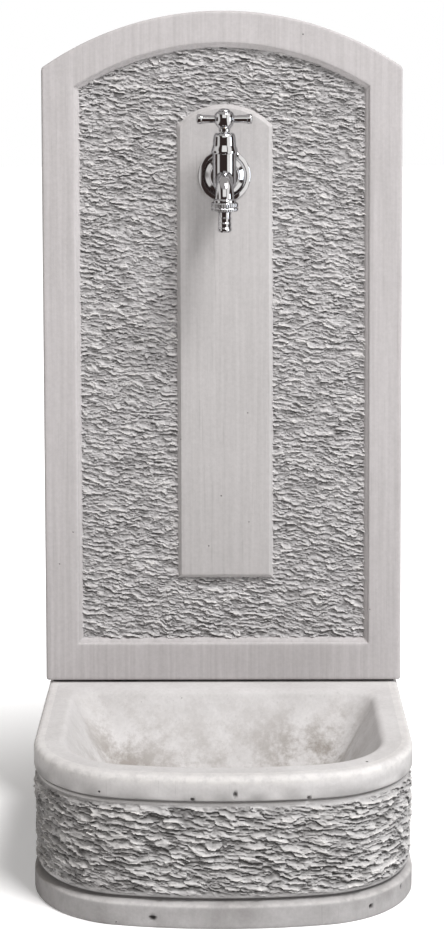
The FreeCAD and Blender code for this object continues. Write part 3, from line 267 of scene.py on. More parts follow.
def cast_concrete():
    """Mottled, streaked and pitted cement: clouds and blotches tint it, slanting streaks and grain roughen
    it, and a few random cells hold an air hole, darkened with painted shade. Places marked on the mesh
    with painted shade are dark, with painted highlight and wear pale, and as damp brown in patches."""
    colour, number = "NodeSocketColor", "NodeSocketFloat"
    tree, given, result = effect(
        "cast_concrete",
        [("Light", colour, (0.5, 0.5, 0.5, 1)), ("Stain", colour, (0.4, 0.4, 0.4, 1)),
         ("Mottle", number, 0.5), ("Streaks", number, 0.5), ("Pits", number, 0.5), ("Painted Shade", number, 0.6)],
        [("Color", colour), ("Roughness", number), ("Height", number)])
    place = node(tree, "ShaderNodeTexCoord").outputs["Object"]
    clouds = ranged(tree, hills(tree, place, 9, 6, 0.62), 0.32, 0.68)
    blotch = ranged(tree, hills(tree, place, 34, 5, 0.68), 0.3, 0.72)
    fine = hills(tree, place, 260, 3, 0.6)
    grain = hills(tree, place, 1300, 2, 0.6)
    streak = hills(tree, stretched(tree, place, (190, 190, 5), (0, 0.06, 0)), 1.0, 4, 0.6)
    scratch = hills(tree, stretched(tree, place, (420, 420, 12), (0, -0.5, 0)), 1.0, 2, 0.5)
    scratch = ranged(tree, scratch, 0.64, 0.74)
    cells = node(tree, "ShaderNodeTexVoronoi", {"Vector": place, "Scale": 62.0, "Randomness": 1.0})
    chance = node(tree, "ShaderNodeSeparateColor", {0: cells.outputs["Color"]})
    size = ranged(tree, chance.outputs[1], 0.0, 1.0, 0.04, 0.12)
    hole = sums(tree, "SUBTRACT", 1.0, ranged(tree, sums(tree, "DIVIDE", cells.outputs["Distance"], size),
                                              0.55, 1.0))
    crowd = ranged(tree, hills(tree, place, 11, 2), 0.45, 0.75, 0.0, 0.34)
    rare = sums(tree, "GREATER_THAN", sums(tree, "ADD", chance.outputs[0], crowd), 0.91)
    pit = sums(tree, "MULTIPLY", sums(tree, "MULTIPLY", hole, rare), given["Pits"])
    cavity = node(tree, "ShaderNodeAttribute", attribute_name="cavity").outputs["Fac"]
    cavity = sums(tree, "MULTIPLY", cavity, given["Painted Shade"])
    shade = sums(tree, "MULTIPLY", sums(tree, "MULTIPLY_ADD", clouds, 0.6,
                                        sums(tree, "MULTIPLY", blotch, 0.4)),
                 given["Mottle"])
    shade = sums(tree, "MULTIPLY_ADD", sums(tree, "SUBTRACT", streak, 0.4), given["Streaks"], shade)
    tint = mixed(tree, node(tree, "ShaderNodeClamp", {0: shade}).outputs[0], given["Light"], given["Stain"])
    speckle = ranged(tree, fine, 0.25, 0.75, 0.955, 1.035)
    tint = mixed(tree, 1.0, tint, node(tree, "ShaderNodeCombineColor",
                                       {0: speckle, 1: speckle, 2: speckle}).outputs[0], "MULTIPLY")
    tint = mixed(tree, sums(tree, "MULTIPLY", scratch, 0.16), tint, (0.22, 0.215, 0.21, 1))
    # painted highlight and wear: marked arrises and the brows of ledges turn pale cream
    worn = node(tree, "ShaderNodeAttribute", attribute_name="worn").outputs["Fac"]
    worn = sums(tree, "MULTIPLY", worn, ranged(tree, hills(tree, place, 90, 5, 0.7), 0.35, 0.6, 0.25, 1.0))
    tint = mixed(tree, worn, tint, (0.86, 0.845, 0.82, 1))
    damp = node(tree, "ShaderNodeAttribute", attribute_name="damp").outputs["Fac"]
    damp = sums(tree, "MULTIPLY", damp, ranged(tree, hills(tree, place, 15, 8, 0.78), 0.40, 0.60))
    tint = mixed(tree, sums(tree, "MULTIPLY", damp, 0.8), tint, (0.30, 0.275, 0.25, 1))
    # painted shade: the mesh's marks darken hollows, grooves, air holes and the undersides of ledges nearly
    # to black
    tint = mixed(tree, cavity, tint, (0.060, 0.057, 0.055, 1))
    # painted shade in the air holes, which are only dents in the bump
    tint = mixed(tree, sums(tree, "MULTIPLY", pit, 0.9), tint, (0.02, 0.02, 0.02, 1))
    rough = ranged(tree, blotch, 0, 1, 0.74, 0.92)
    height = sums(tree, "MULTIPLY_ADD", grain, 0.10, sums(tree, "MULTIPLY", fine, 0.14))
    height = sums(tree, "MULTIPLY_ADD", streak, 0.22, height)
    height = sums(tree, "SUBTRACT", height, sums(tree, "MULTIPLY", pit, 2.2))
    for label, value in (("Color", tint), ("Roughness", rough), ("Height", height)):
        tree.links.new(value, result[label])
    return tree


CAST_CONCRETE = cast_concrete()


def concrete(name, light, stain, mottle, streaks, pits, cavity=0.6):
    """A dull cement finish from the shared effect, with this piece's own values."""
    made = bpy.data.materials.new(name)
    made.use_nodes = True
    tree = made.node_tree
    shader = tree.nodes["Principled BSDF"]
    shader.inputs["Specular IOR Level"].default_value = 0.32
    cast = node(tree, "ShaderNodeGroup", node_tree=CAST_CONCRETE)
    for label, value in (("Light", light + (1,)), ("Stain", stain + (1,)), ("Mottle", mottle),
                         ("Streaks", streaks), ("Pits", pits), ("Painted Shade", cavity)):
        cast.inputs[label].default_value = value
    bump = node(tree, "ShaderNodeBump", {"Height": cast.outputs["Height"], "Distance": 0.0011,
                                         "Strength": 0.7})
    tree.links.new(cast.outputs["Color"], shader.inputs["Base Color"])
    tree.links.new(cast.outputs["Roughness"], shader.inputs["Roughness"])
    tree.links.new(bump.outputs[0], shader.inputs["Normal"])
    return made


basin_smooth = concrete("basin_smooth", (0.675, 0.665, 0.662), (0.46, 0.445, 0.435), 0.50, 0.06, 1.3)
basin_bowl.data.materials.append(basin_smooth)


# ---------------------------------------------------------------- basin: tooled sides, back and underside
# The same casting outside: a smooth rim band over a shadow groove, a band tooled into rough horizontal
# ledges, and a smooth plinth. The back and the underside are left as they came from the mould, with the
# supply channel up the back and the drain's pocket and channel below.

RIM_FOOT, GROOVE_FOOT, BAND_TOP, BAND_FOOT, PLINTH_TOP = 0.140, 0.137, 0.134, 0.032, 0.0248
GROOVE_DEEP, BAND_INSET, COVE_DEEP, RIM_ROUND = 0.0060, 0.0058, 0.0085, 0.0060
LEDGE, BAND_RELIEF = 0.0088, 0.0070  # the tooling's pitch on the band, and how far its brows stand out
HOLE_DEEP = 0.0035
# each air hole's share of the way round, height, half width and half height
AIR_HOLES = ((0.512, 0.1475, 0.0022, 0.0032), (0.652, 0.0125, 0.0025, 0.0022),
             (0.430, 0.0110, 0.0040, 0.0026), (0.585, 0.1415, 0.0020, 0.0016),
             (0.470, 0.1420, 0.0020, 0.0014), (0.700, 0.0190, 0.0018, 0.0016))
SIDE_COUNTS = (190, 150, 200, 150, 190)


def ledges(u, v, seed, wander):
    """One layer of flakes.

    The level v + u / 10 + wander * hills is cut into rows, each row is broken into lengths that sit a
    random step higher or lower, and the level is cut again. A flake leans out as (p / q) ^ 0.8 up to its
    brow at p = q, then falls back as 0.6 f + 0.4 f ^ 4, where f = (1 - p) / (1 - q). Its strength is
    random for each length.
    """
    bend = 0.9 * noise(u / 4, v / 2.2, seed) + 0.5 * noise(u / 1.4, v, seed + 1)
    bend = bend + 0.2 * noise(u / 0.5, v * 2, seed + 5)
    level = v + 0.10 * u + wander * bend
    row = np.floor(level)
    length = np.floor(u / 1.7 + 0.5 * v + 0.6 * noise(u / 1.2, v, seed + 3) + 7.31 * row)
    level = level + 0.8 * (noise(length, row, seed + 4) - 0.5)
    row = np.floor(level)
    part = level - row
    brow = 0.40 + 0.26 * (noise(u / 0.9, row * 3.0, seed + 6) - 0.5)
    fall = (1 - part) / (1 - brow)
    face = np.minimum((part / brow) ** 0.8, 0.6 * fall + 0.4 * fall ** 4)
    strength = 0.7 * noise(length, row + 40, seed + 7)
    strength = strength + 0.6 * noise(u / 1.1 + 17.31 * row, row * 0.5, seed + 2)
    return np.clip((strength - 0.22) / 0.72, 0, 1) * face


def chiselled(across, up, size, seed, wander):
    """Height, 0 to 1, and painted shade, 0 to 1, of tooled stone: bold flakes, small flakes half their size,
    and low hills and grain, all in ledge sizes. Painted shade grows in hollows and where the face overhangs."""
    u, v = across / size, up / size
    bold = ledges(u, v, seed, wander)
    small = ledges(2.1 * u, 2.2 * v, seed + 10, 0.8 * wander)
    low_hills = noise(u / 3, v / 2, seed + 20)
    grain = noise(3.4 * u, 5 * v, seed + 30)
    height = (0.56 * bold + 0.34 * small + 0.14 * low_hills + 0.10 * grain) / 1.14
    rise = np.maximum(np.gradient(np.broadcast_to(v, height.shape), axis=0), 1e-6)
    under = np.gradient(height, axis=0) / rise
    return height, np.clip(0.55 * (1 - 3.0 * height) + 0.55 * np.clip(under, 0, 2.2), 0, 1)


def rounded(corners, radius, steps=5):
    """A line through the corners with each inner one rounded by the curve (1-t)^2 a + 2t(1-t) c + t^2 b,
    where a and b lie the radius, or 0.45 of the run, before and after the corner c."""
    corners = np.array(corners, float)
    before, corner, after = corners[:-2], corners[1:-1], corners[2:]

    def toward(other):
        run = np.maximum(np.linalg.norm(other - corner, axis=1, keepdims=True), 1e-9)
        return corner + (other - corner) * np.minimum(radius / run, 0.45)

    t = np.linspace(0, 1, steps)[None, :, None]
    start, end = toward(before)[:, None], toward(after)[:, None]
    curve = (1 - t) ** 2 * start + 2 * t * (1 - t) * corner[:, None] + t ** 2 * end
    return np.concatenate([corners[:1], curve.reshape(-1, corners.shape[1]), corners[-1:]])


def resampled(line, step):
    """The same line with a point at least every step along each run, its own points kept."""
    runs = np.linalg.norm(np.diff(line, axis=0), axis=1)
    counts = np.maximum(np.ceil(runs / step).astype(int), 1)
    marks = np.concatenate([[0], np.cumsum(counts)])
    spots = np.arange(marks[-1] + 1)
    return np.stack([np.interp(spots, marks, column) for column in line.T], axis=-1)


side_at, side_points, side_normals = trough_line(HALF, BACK, FRONT, CORNER, BOW, 0, SIDE_COUNTS)
BAND_LEAN = 0.002                   # the band leans out this far from its foot to its top
lower = rounded([(0.0016, 0), (0.0, 0.0016), (0.0, PLINTH_TOP - 0.0012), (0.0014, PLINTH_TOP),
                 (COVE_DEEP, BAND_FOOT - 0.0032), (COVE_DEEP, BAND_FOOT - 0.0008), (BAND_INSET, BAND_FOOT)],
                0.0012, 3)
upper = rounded([(BAND_INSET - BAND_LEAN, BAND_TOP), (BAND_INSET - BAND_LEAN, GROOVE_FOOT),
                 (GROOVE_DEEP, GROOVE_FOOT + 0.0006), (GROOVE_DEEP, RIM_FOOT), (0.0008, RIM_FOOT),
                 (0.0, RIM_FOOT + 0.001), (0.0, RIM_TOP - RIM_ROUND)], 0.0014, 4)
turn = np.linspace(0, np.pi / 2, 7)[1:]
rim_round = np.stack([RIM_ROUND * (1 - np.cos(turn)), RIM_TOP - RIM_ROUND * (1 - np.sin(turn))], axis=-1)
upper = np.concatenate([upper, rim_round, [(RIM_INSET, RIM_TOP)]])
band = resampled(np.array([[BAND_INSET, BAND_FOOT], [BAND_INSET - BAND_LEAN, BAND_TOP]]), 0.00095)
side_profile = np.concatenate([resampled(lower, 0.0024), band[1:-1], resampled(upper, 0.0021)])
inset, level = side_profile[:, 0][:, None], side_profile[:, 1][:, None]
# the second result is painted shade under the band's ledges and in its hollows
tooled, ledge_shade = chiselled(side_at[None, :], level, LEDGE, 3, 1.0)
rear_fade = np.clip(np.minimum(side_at, side_at[-1] - side_at) / 0.02, 0, 1)[None, :]
band_fade = np.clip((level - BAND_FOOT) / 0.007, 0, 1) * np.clip((BAND_TOP - level) / 0.004, 0, 1)
smooth_face = (level < RIM_TOP - 0.001) & (inset < 0.001)
cast_wobble = np.abs(noise(side_at[None, :] * 60, level * 60, 7) - 0.5) * 0.0007 * smooth_face
# painted shade in the groove under the rim band and in the cove above the plinth
sunk = np.exp(-((level - RIM_FOOT + 0.0015) / 0.0018) ** 2)
sunk = sunk + np.exp(-((level - BAND_FOOT + 0.002) / 0.0018) ** 2)
air_hole = np.zeros_like(tooled)
for place, height, wide, tall in AIR_HOLES:
    off = ((side_at[None, :] - place * side_at[-1]) / wide) ** 2 + ((level - height) / tall) ** 2
    air_hole = np.maximum(air_hole, np.exp(-off ** 2))
side_inset = inset - tooled * BAND_RELIEF * band_fade * rear_fade + cast_wobble + air_hole * HOLE_DEEP
side_plan = side_points[None] - side_normals[None] * side_inset[..., None]
side_grid = at_height(side_plan, np.broadcast_to(level, side_inset.shape))
# painted shade, darker towards the foot of the rim band, in noisy patches
rim_foot_shade = np.clip((RIM_FOOT + 0.016 - level) / 0.014, 0, 1) * (level > RIM_FOOT)
rim_foot_shade = rim_foot_shade * noise(side_at[None, :] * 55, level * 110, 9)
# all the painted shade on the sides: under the ledges, in the groove and cove, at the rim's foot and in the
# air holes
cavity = np.clip(ledge_shade * band_fade + 0.9 * sunk + 0.9 * rim_foot_shade + 1.3 * air_hole, 0, 1.3)
# painted highlight on the rim's rounded arris (partly wear), on the plinth's top edge and on the band's ledge
# brows
worn = np.exp(-((level - RIM_TOP + 0.004) / 0.005) ** 2) + 0.5 * np.exp(-((level - PLINTH_TOP) / 0.0015) ** 2)
worn = np.clip(worn, 0, 1) * 0.6 + np.clip(2.4 * tooled - 0.9, 0, 1) * band_fade
basin_tooled = concrete("basin_tooled", (0.56, 0.555, 0.555), (0.40, 0.385, 0.375), 0.45, 0.04, 1.0, 1.95)
basin_plinth = concrete("basin_plinth", (0.50, 0.49, 0.49), (0.30, 0.29, 0.285), 0.9, 0.05, 1.0, 0.9)
heights = side_profile[:, 1]
cuts = [0, np.searchsorted(heights, BAND_FOOT), np.searchsorted(heights, BAND_TOP), len(heights) - 1]
sides = []
for name, low, high, finish in zip(("basin_foot", "basin_band", "basin_rim"), cuts, cuts[1:],
                                   (basin_plinth, basin_tooled, basin_smooth)):
    rows = slice(low, high + 1)
    sides.append(surface(name, side_grid[rows], crisp=34, cavity=cavity[rows], worn=worn[rows]))
    sides[-1].data.materials.append(finish)

channel_low, channel_high = 0.003 - 0.032, 0.003 + 0.032
CHANNEL_Y = BACK - 0.034
POCKET, DRAIN_HALF, POCKET_TOP = 0.046, 0.025, 0.042
notch = np.array([(HALF, BACK), (channel_high, BACK), (channel_high, CHANNEL_Y), (DRAIN_HALF, CHANNEL_Y),
                  (-DRAIN_HALF, CHANNEL_Y), (channel_low, CHANNEL_Y), (channel_low, BACK), (-HALF, BACK)])
rear_path = resampled(notch, 0.004)
rear_rows = np.concatenate([np.linspace(0, POCKET_TOP, 12), np.linspace(POCKET_TOP, RIM_TOP, 32)[1:]])
rear_plan = np.repeat(rear_path[None], len(rear_rows) + 1, axis=0)
rear_skin = np.where(rear_path[:, 1] > BACK - 0.001, 0.0009, 0.0)
rough_back = noise(rear_path[None, :, 0] * 90, rear_rows[:, None] * 90, 11)
rear_plan[:-1, :, 1] -= rough_back * rear_skin[None]
rear_plan[-1] = np.stack([np.clip(rear_path[:, 0], -HALF + RIM_INSET, HALF - RIM_INSET),
                          np.full(len(rear_path), UNDER_SLAB)], axis=-1)
rear_levels = np.append(rear_rows, RIM_TOP)
off_middle = np.abs(rear_path[:-1, 0] + rear_path[1:, 0]) / 2
over_drain = (off_middle < DRAIN_HALF) & (rear_path[:-1, 1] < CHANNEL_Y + 0.001)
rear_keep = ~(over_drain[None, :] & (rear_levels[:-1, None] < POCKET_TOP - 0.001))
basin_rear = surface("basin_rear", at_height(rear_plan, rear_levels), keep=rear_keep)

swing = np.arcsin(DRAIN_HALF / POCKET)
pocket_start = DRAIN_Y + POCKET * np.cos(swing)
key_line = [(BACK - CHANNEL_Y, 0), (1e-6, np.pi / 2), (-DRAIN_HALF - channel_low, 0), (1e-6, -np.pi / 2),
            (CHANNEL_Y - pocket_start, 0), (1e-6, -(np.pi / 2 - swing)),
            (POCKET * (2 * np.pi - 2 * swing), 2 * np.pi - 2 * swing),
            (1e-6, -(np.pi / 2 - swing)), (CHANNEL_Y - pocket_start, 0), (1e-6, -np.pi / 2),
            (channel_high - DRAIN_HALF, 0), (1e-6, np.pi / 2), (BACK - CHANNEL_Y, 0)]
_, key_points, _ = carried_line(key_line, (channel_low, BACK), -np.pi / 2,
                                (8, 1, 3, 1, 60, 1, 96, 1, 60, 1, 3, 1, 8))
sole_share = np.linspace(0, 1, len(key_points)) * (len(side_points) - 1)
sole_points = np.stack([np.interp(sole_share, np.arange(len(side_points)),
                                  (side_points - side_normals * 0.0016)[:, axis])
                        for axis in (0, 1)], axis=-1)
spine = np.stack([np.zeros(len(key_points)), np.clip(key_points[:, 1], DRAIN_Y, CHANNEL_Y)], axis=-1)
sole_rows = [(spine, POCKET_TOP), (key_points * 0.5 + spine * 0.5, POCKET_TOP), (key_points, POCKET_TOP),
             (key_points, POCKET_TOP / 2), (key_points, 0.0), (key_points * 0.5 + sole_points * 0.5, 0.0),
             (sole_points, 0.0)]
sole_grid = np.stack([at_height(plan, height) for plan, height in sole_rows])
in_channel = key_points[:, 1] > CHANNEL_Y - 1e-5
sole_keep = np.ones((len(sole_rows) - 1, len(key_points) - 1), bool)
sole_keep[:4] = ~(in_channel[:-1] & in_channel[1:])[None]
basin_sole = surface("basin_sole", sole_grid, keep=sole_keep)
basin_mould = concrete("basin_mould", (0.50, 0.49, 0.48), (0.36, 0.345, 0.33), 0.6, 0.1, 1.0)
for piece in (basin_rear, basin_sole):
    piece.data.materials.append(basin_mould)
for piece in [basin_bowl, basin_rear, basin_sole] + sides:
    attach(piece, "castings")
    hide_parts("basin")


# ---------------------------------------------------------------- back slab: frame and rear
# The upright slab is a second concrete casting, made face down: a smooth flat frame with a shallow arched
# top round a sunk panel. Its arrises are slightly rounded by wear. Two dowels and a thin mortar bed tie it
# to the basin, and a channel up its rear takes the supply pipe.

SLAB_HALF, SLAB_FOOT, SLAB_CROWN = slab_high[0], slab_low[2], slab_high[2]
SLAB_SPRING = SLAB_CROWN - 0.0675
FACE, REAR = slab_low[1], slab_high[1]
ARRIS, REAR_ARRIS, PANEL_ARRIS, REAR_INSET = 0.003, 0.002, 0.0026, 0.010
PANEL = dict(half=0.175, foot=0.216, spring=0.890, crown=0.941)
STRIP = dict(half=0.053, foot=0.300, spring=0.842, crown=0.864, middle=0.003)
PANEL_DRAFT, PANEL_FLOOR = 0.0055, FACE + 0.009
ARCH_COUNTS = (140, 240, 150, 240)


def arched_loop(half, foot, spring, crown, inset=0.0, middle=0.0, counts=ARCH_COUNTS):
    """Anticlockwise from the foot's left end: foot, right side, arch, left side.

    The arch's radius is (half^2 + rise^2) / (2 rise). An inset comes off the radius, the sides and the foot,
    and the arch then springs at its centre + sqrt(radius^2 - half^2).
    """
    rise = crown - spring
    radius = (half ** 2 + rise ** 2) / (2 * rise)
    centre = crown - radius
    radius, half, foot = radius - inset, half - inset, foot + inset
    spring, swing = centre + np.sqrt(radius ** 2 - half ** 2), np.arcsin(half / radius)
    run = [np.linspace(0, 1, count, endpoint=False) for count in counts]
    angle = swing - 2 * swing * run[2]
    x = np.concatenate([half * (2 * run[0] - 1), np.full(counts[1], half), radius * np.sin(angle),
                        np.full(counts[3], -half)])
    z = np.concatenate([np.full(counts[0], foot), foot + (spring - foot) * run[1],
                        centre + radius * np.cos(angle),
                        spring + (foot - spring) * run[3]])
    return np.stack([middle + x, z], axis=-1)


def softened(loop):
    """A closed loop whose corners are taken off: half of each point and a quarter of each neighbour."""
    return loop * 0.5 + (np.roll(loop, 1, axis=-2) + np.roll(loop, -1, axis=-2)) * 0.25


def upright(loops, depth):
    """Loops in the slab's plane (rows, columns, 2) set at a depth for each row, as points in space."""
    depth = np.broadcast_to(np.asarray(depth)[:, None], loops.shape[:2])
    return np.stack([loops[..., 0], depth, loops[..., 1]], axis=-1)


outline = dict(half=SLAB_HALF, foot=SLAB_FOOT, spring=SLAB_SPRING, crown=SLAB_CROWN)
quarter = np.linspace(0, np.pi / 2, 6)
slab_rows = [(REAR_INSET, REAR)]
slab_rows += [(REAR_ARRIS * (1 - np.sin(turn)), REAR - REAR_ARRIS * (1 - np.cos(turn))) for turn in quarter]
slab_rows += [(0.0, depth) for depth in np.linspace(REAR - REAR_ARRIS, FACE + ARRIS, 16)[1:-1]]
slab_rows += [(ARRIS * (1 - np.cos(turn)), FACE + ARRIS * (1 - np.sin(turn))) for turn in quarter]
outer_loops = np.stack([softened(arched_loop(**outline, inset=inset)) for inset, _ in slab_rows])
face_loop = outer_loops[-1]
panel_rows = [(PANEL_ARRIS * (np.sin(turn) - 1), FACE + PANEL_ARRIS * (1 - np.cos(turn))) for turn in quarter]
panel_rows += [(PANEL_DRAFT * share + 0.0003, FACE + 0.009 * share) for share in (0.45, 0.65, 0.85, 1.0, 1.3)]
panel_loops = np.stack([arched_loop(**PANEL, inset=inset) for inset, _ in panel_rows])
inward = np.linspace(0, 1, 14)[1:-1, None, None]
across_face = face_loop * (1 - inward) + panel_loops[0] * inward
frame_grid = upright(np.concatenate([outer_loops, across_face, panel_loops]),
                     [depth for _, depth in slab_rows] + [FACE] * 12 + [depth for _, depth in panel_rows])
wavy = noise(frame_grid[..., 0] * 22, frame_grid[..., 2] * 22, 21) - 0.5
frame_grid[len(slab_rows):-5, :, 1] += np.abs(wavy[len(slab_rows):-5]) * 0.0006
mid_x = (frame_grid[:-1, :, 0] + np.roll(frame_grid, -1, axis=1)[:-1, :, 0]) / 2
at_channel = (mid_x > channel_low) & (mid_x < channel_high)
at_channel &= (frame_grid[:-1, :, 1] > CHANNEL_Y) & (frame_grid[:-1, :, 2] < SLAB_FOOT + 0.02)
slab_frame = surface("slab_frame", frame_grid, around=True, keep=~at_channel, crisp=40)
slab_smooth = concrete("slab_smooth", (0.565, 0.543, 0.545), (0.38, 0.365, 0.362), 0.22, 1.15, 0.6)
slab_frame.data.materials.append(slab_smooth)

CHANNEL_TOP = 0.830
STEP = 0.00002                      # the rear steps down into the channel within this distance
rear_x = np.sort(np.concatenate([np.linspace(-0.207, 0.207, 139),
                                 [channel_low - STEP, channel_low, channel_high, channel_high + STEP]]))
rear_z = np.sort(np.concatenate([np.linspace(SLAB_FOOT, 0.972, 268), [CHANNEL_TOP, CHANNEL_TOP + STEP]]))
grid_x, grid_z = np.meshgrid(rear_x[::-1], rear_z)
in_way = (grid_x >= channel_low) & (grid_x <= channel_high) & (grid_z <= CHANNEL_TOP)
skin = 0.0004 + 0.0009 * noise(grid_x * 70, grid_z * 70, 31) * noise(grid_x * 9, grid_z * 9, 32)
rear_grid = np.stack([grid_x, np.where(in_way, CHANNEL_Y, REAR - skin), grid_z], axis=-1)


def under_arch(x, z, half, foot, spring, crown, inset=0.0, middle=0.0):
    """True inside the arched outline, taken in by the inset."""
    rise = crown - spring
    radius = (half ** 2 + rise ** 2) / (2 * rise)
    off = np.abs(x - middle)
    below = z < crown - radius + np.sqrt(np.maximum((radius - inset) ** 2 - off ** 2, 0))
    return (off < half - inset) & (z > foot + inset) & below


def cell_middles(grid):
    """The middle of each cell's diagonal."""
    return (grid[:-1, :-1] + grid[1:, 1:]) / 2


middles = cell_middles(rear_grid)
socket_low, socket_high = np.array(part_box("tie_sockets"))
SOCKET_R, SOCKET_HOLE_R = 0.008, 0.0062
socket_x, socket_z = socket_high[0] - SOCKET_R, (socket_low[2] + socket_high[2]) / 2
off_socket = np.hypot(np.abs(middles[..., 0]) - socket_x, middles[..., 2] - socket_z) > SOCKET_HOLE_R
in_channel = (middles[..., 0] > channel_low) & (middles[..., 0] < channel_high) & (middles[..., 2] < 0.3)
rear_keep = under_arch(middles[..., 0], middles[..., 2], **outline, inset=0.008) | in_channel
rear_keep &= off_socket
slab_rear = surface("slab_rear", rear_grid, keep=rear_keep)
slab_screed = concrete("slab_screed", (0.47, 0.46, 0.45), (0.33, 0.32, 0.31), 0.7, 0.3, 1.0)
slab_rear.data.materials.append(slab_screed)


# ---------------------------------------------------------------- back slab: sunk panel and raised strip
# Inside the frame the casting is tooled into small horizontal flakes, as if chipped with a bolster. A
# smooth strip with an arched head stands up from it and carries the tap. Both are part of the slab.

FLAKE, FIELD_RELIEF = 0.0062, 0.0062  # the tooling's pitch on the field, and how far its brows stand out
field_x = np.linspace(-0.1745, 0.1745, 340)
field_z = np.linspace(PANEL["foot"] - 0.001, PANEL["crown"] + 0.001, 742)
grid_x, grid_z = np.meshgrid(field_x, field_z)
# the second result is painted shade in the field's hollows and under its flakes
chips, ledge_shade = chiselled(grid_x + 1.7, grid_z, FLAKE, 41, 1.3)
field_grid = np.stack([grid_x, PANEL_FLOOR - chips * FIELD_RELIEF, grid_z], axis=-1)
middles = cell_middles(field_grid)
seen = under_arch(middles[..., 0], middles[..., 2], **PANEL, inset=0.001)
seen &= ~under_arch(middles[..., 0], middles[..., 2], **STRIP, inset=0.0005)
belts = np.linspace(0, len(field_z) - 1, 4).astype(int)
# the brows of the flakes get a painted highlight
panels = [surface(f"slab_panel_{number}", field_grid[low:high + 1], keep=seen[low:high], crisp=34,
                  cavity=ledge_shade[low:high + 1], worn=np.clip(2.2 * chips[low:high + 1] - 0.9, 0, 0.8))
          for number, (low, high) in enumerate(zip(belts[:-1], belts[1:]), 1)]
slab_tooled = concrete("slab_tooled", (0.55, 0.54, 0.545), (0.42, 0.41, 0.405), 0.35, 0.03, 0.5, 1.42)
for piece in panels:
    piece.data.materials.append(slab_tooled)

STRIP_FACE, STRIP_ARRIS = FACE + 0.001, 0.0014
STRIP_COUNTS = (36, 180, 44, 180)
strip_rows = [(-0.0061, PANEL_FLOOR + 0.001), (-0.0040, PANEL_FLOOR - 0.0025),
              (-0.0022, PANEL_FLOOR - 0.0055)]
strip_rows += [(STRIP_ARRIS * (1 - np.cos(turn)) - 0.0008, STRIP_FACE + STRIP_ARRIS * (1 - np.sin(turn)))
               for turn in quarter]
strip_loops = np.stack([arched_loop(**STRIP, inset=inset, counts=STRIP_COUNTS) for inset, _ in strip_rows])
strip_top = strip_loops[-1]
strip_spine = np.stack([np.full(len(strip_top), STRIP["middle"]),
                        np.clip(strip_top[:, 1], STRIP["foot"] + 0.05, STRIP["crown"] - 0.05)], axis=-1)
inward = np.linspace(0, 1, 14)[1:, None, None]
toward_spine = strip_top * (1 - inward) + strip_spine * inward
strip_grid = upright(np.concatenate([strip_loops, toward_spine]),
                     [depth for _, depth in strip_rows] + [STRIP_FACE] * 13)
strip_flat = strip_grid[len(strip_rows):]
strip_flat[..., 1] += np.abs(noise(strip_flat[..., 0] * 30, strip_flat[..., 2] * 20, 51) - 0.5) * 0.0004
slab_strip = surface("slab_strip", strip_grid, around=True, crisp=50)
strip_smooth = concrete("strip_smooth", (0.555, 0.538, 0.536), (0.39, 0.38, 0.375), 0.25, 1.1, 0.6)
slab_strip.data.materials.append(strip_smooth)
for piece in [slab_frame, slab_rear, slab_strip] + panels:
    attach(piece, "castings")
    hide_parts("back_slab")


# ---------------------------------------------------------------- tap: wall flange
# A pressed and chromed brass rosette with a rolled edge and a dished middle. It slides over the tap's tail
# and is pinched against the strip when the tap is screwed in.

AXES = {"up": ((1, 0, 0), (0, 1, 0), (0, 0, 1)),
        "forward": ((1, 0, 0), (0, 0, 1), (0, -1, 0)), "back": ((0, 0, 1), (1, 0, 0), (0, 1, 0)),
        "right": ((0, 1, 0), (0, 0, 1), (1, 0, 0)), "left": ((0, 0, 1), (0, 1, 0), (-1, 0, 0))}


def lathed(name, corners, centre, axis="up", round_by=0.0004, around=72):
    """A turned piece: corners are (radius, height) up its outside, rounded, and each point is
    centre + radius * (cos a * first + sin a * second) + height * axis."""
    line = rounded(corners, round_by)
    angle = np.linspace(0, 2 * np.pi, around, endpoint=False)
    first, second, along = (np.array(way, float) for way in AXES[axis])
    ring = np.cos(angle)[:, None] * first + np.sin(angle)[:, None] * second
    grid = np.array(centre) + line[:, 0, None, None] * ring[None] + line[:, 1, None, None] * along
    return surface(name, grid, around=True, crisp=50)


def metal_wear():
    """Handling marks on metal: smears and water spots change the roughness and the tint, and a fine
    ripple bends the reflections."""
    colour, number = "NodeSocketColor", "NodeSocketFloat"
    tree, given, result = effect(
        "metal_wear",
        [("Metal", colour, (0.8, 0.8, 0.8, 1)), ("Dull", colour, (0.6, 0.6, 0.6, 1)), ("Smear", number, 0.3),
         ("Base Roughness", number, 0.1), ("Scale", number, 60.0)],
        [("Color", colour), ("Roughness", number), ("Height", number)])
    place = node(tree, "ShaderNodeTexCoord").outputs["Object"]
    smear = ranged(tree, hills(tree, place, given["Scale"], 5, 0.65), 0.4, 0.7)
    spots = node(tree, "ShaderNodeTexVoronoi", {"Vector": place, "Scale": 420.0}).outputs["Distance"]
    spot = sums(tree, "MULTIPLY", ranged(tree, spots, 0.12, 0.2, 1.0, 0.0), smear)
    share = sums(tree, "MULTIPLY", sums(tree, "MAXIMUM", smear, spot), given["Smear"])
    ripple = hills(tree, place, 130, 2, 0.5)
    tree.links.new(mixed(tree, share, given["Metal"], given["Dull"]), result["Color"])
    tree.links.new(sums(tree, "MULTIPLY_ADD", share, 0.3, given["Base Roughness"]), result["Roughness"])
    tree.links.new(sums(tree, "MULTIPLY_ADD", spot, 0.1, ripple), result["Height"])
    return tree


METAL_WEAR = metal_wear()


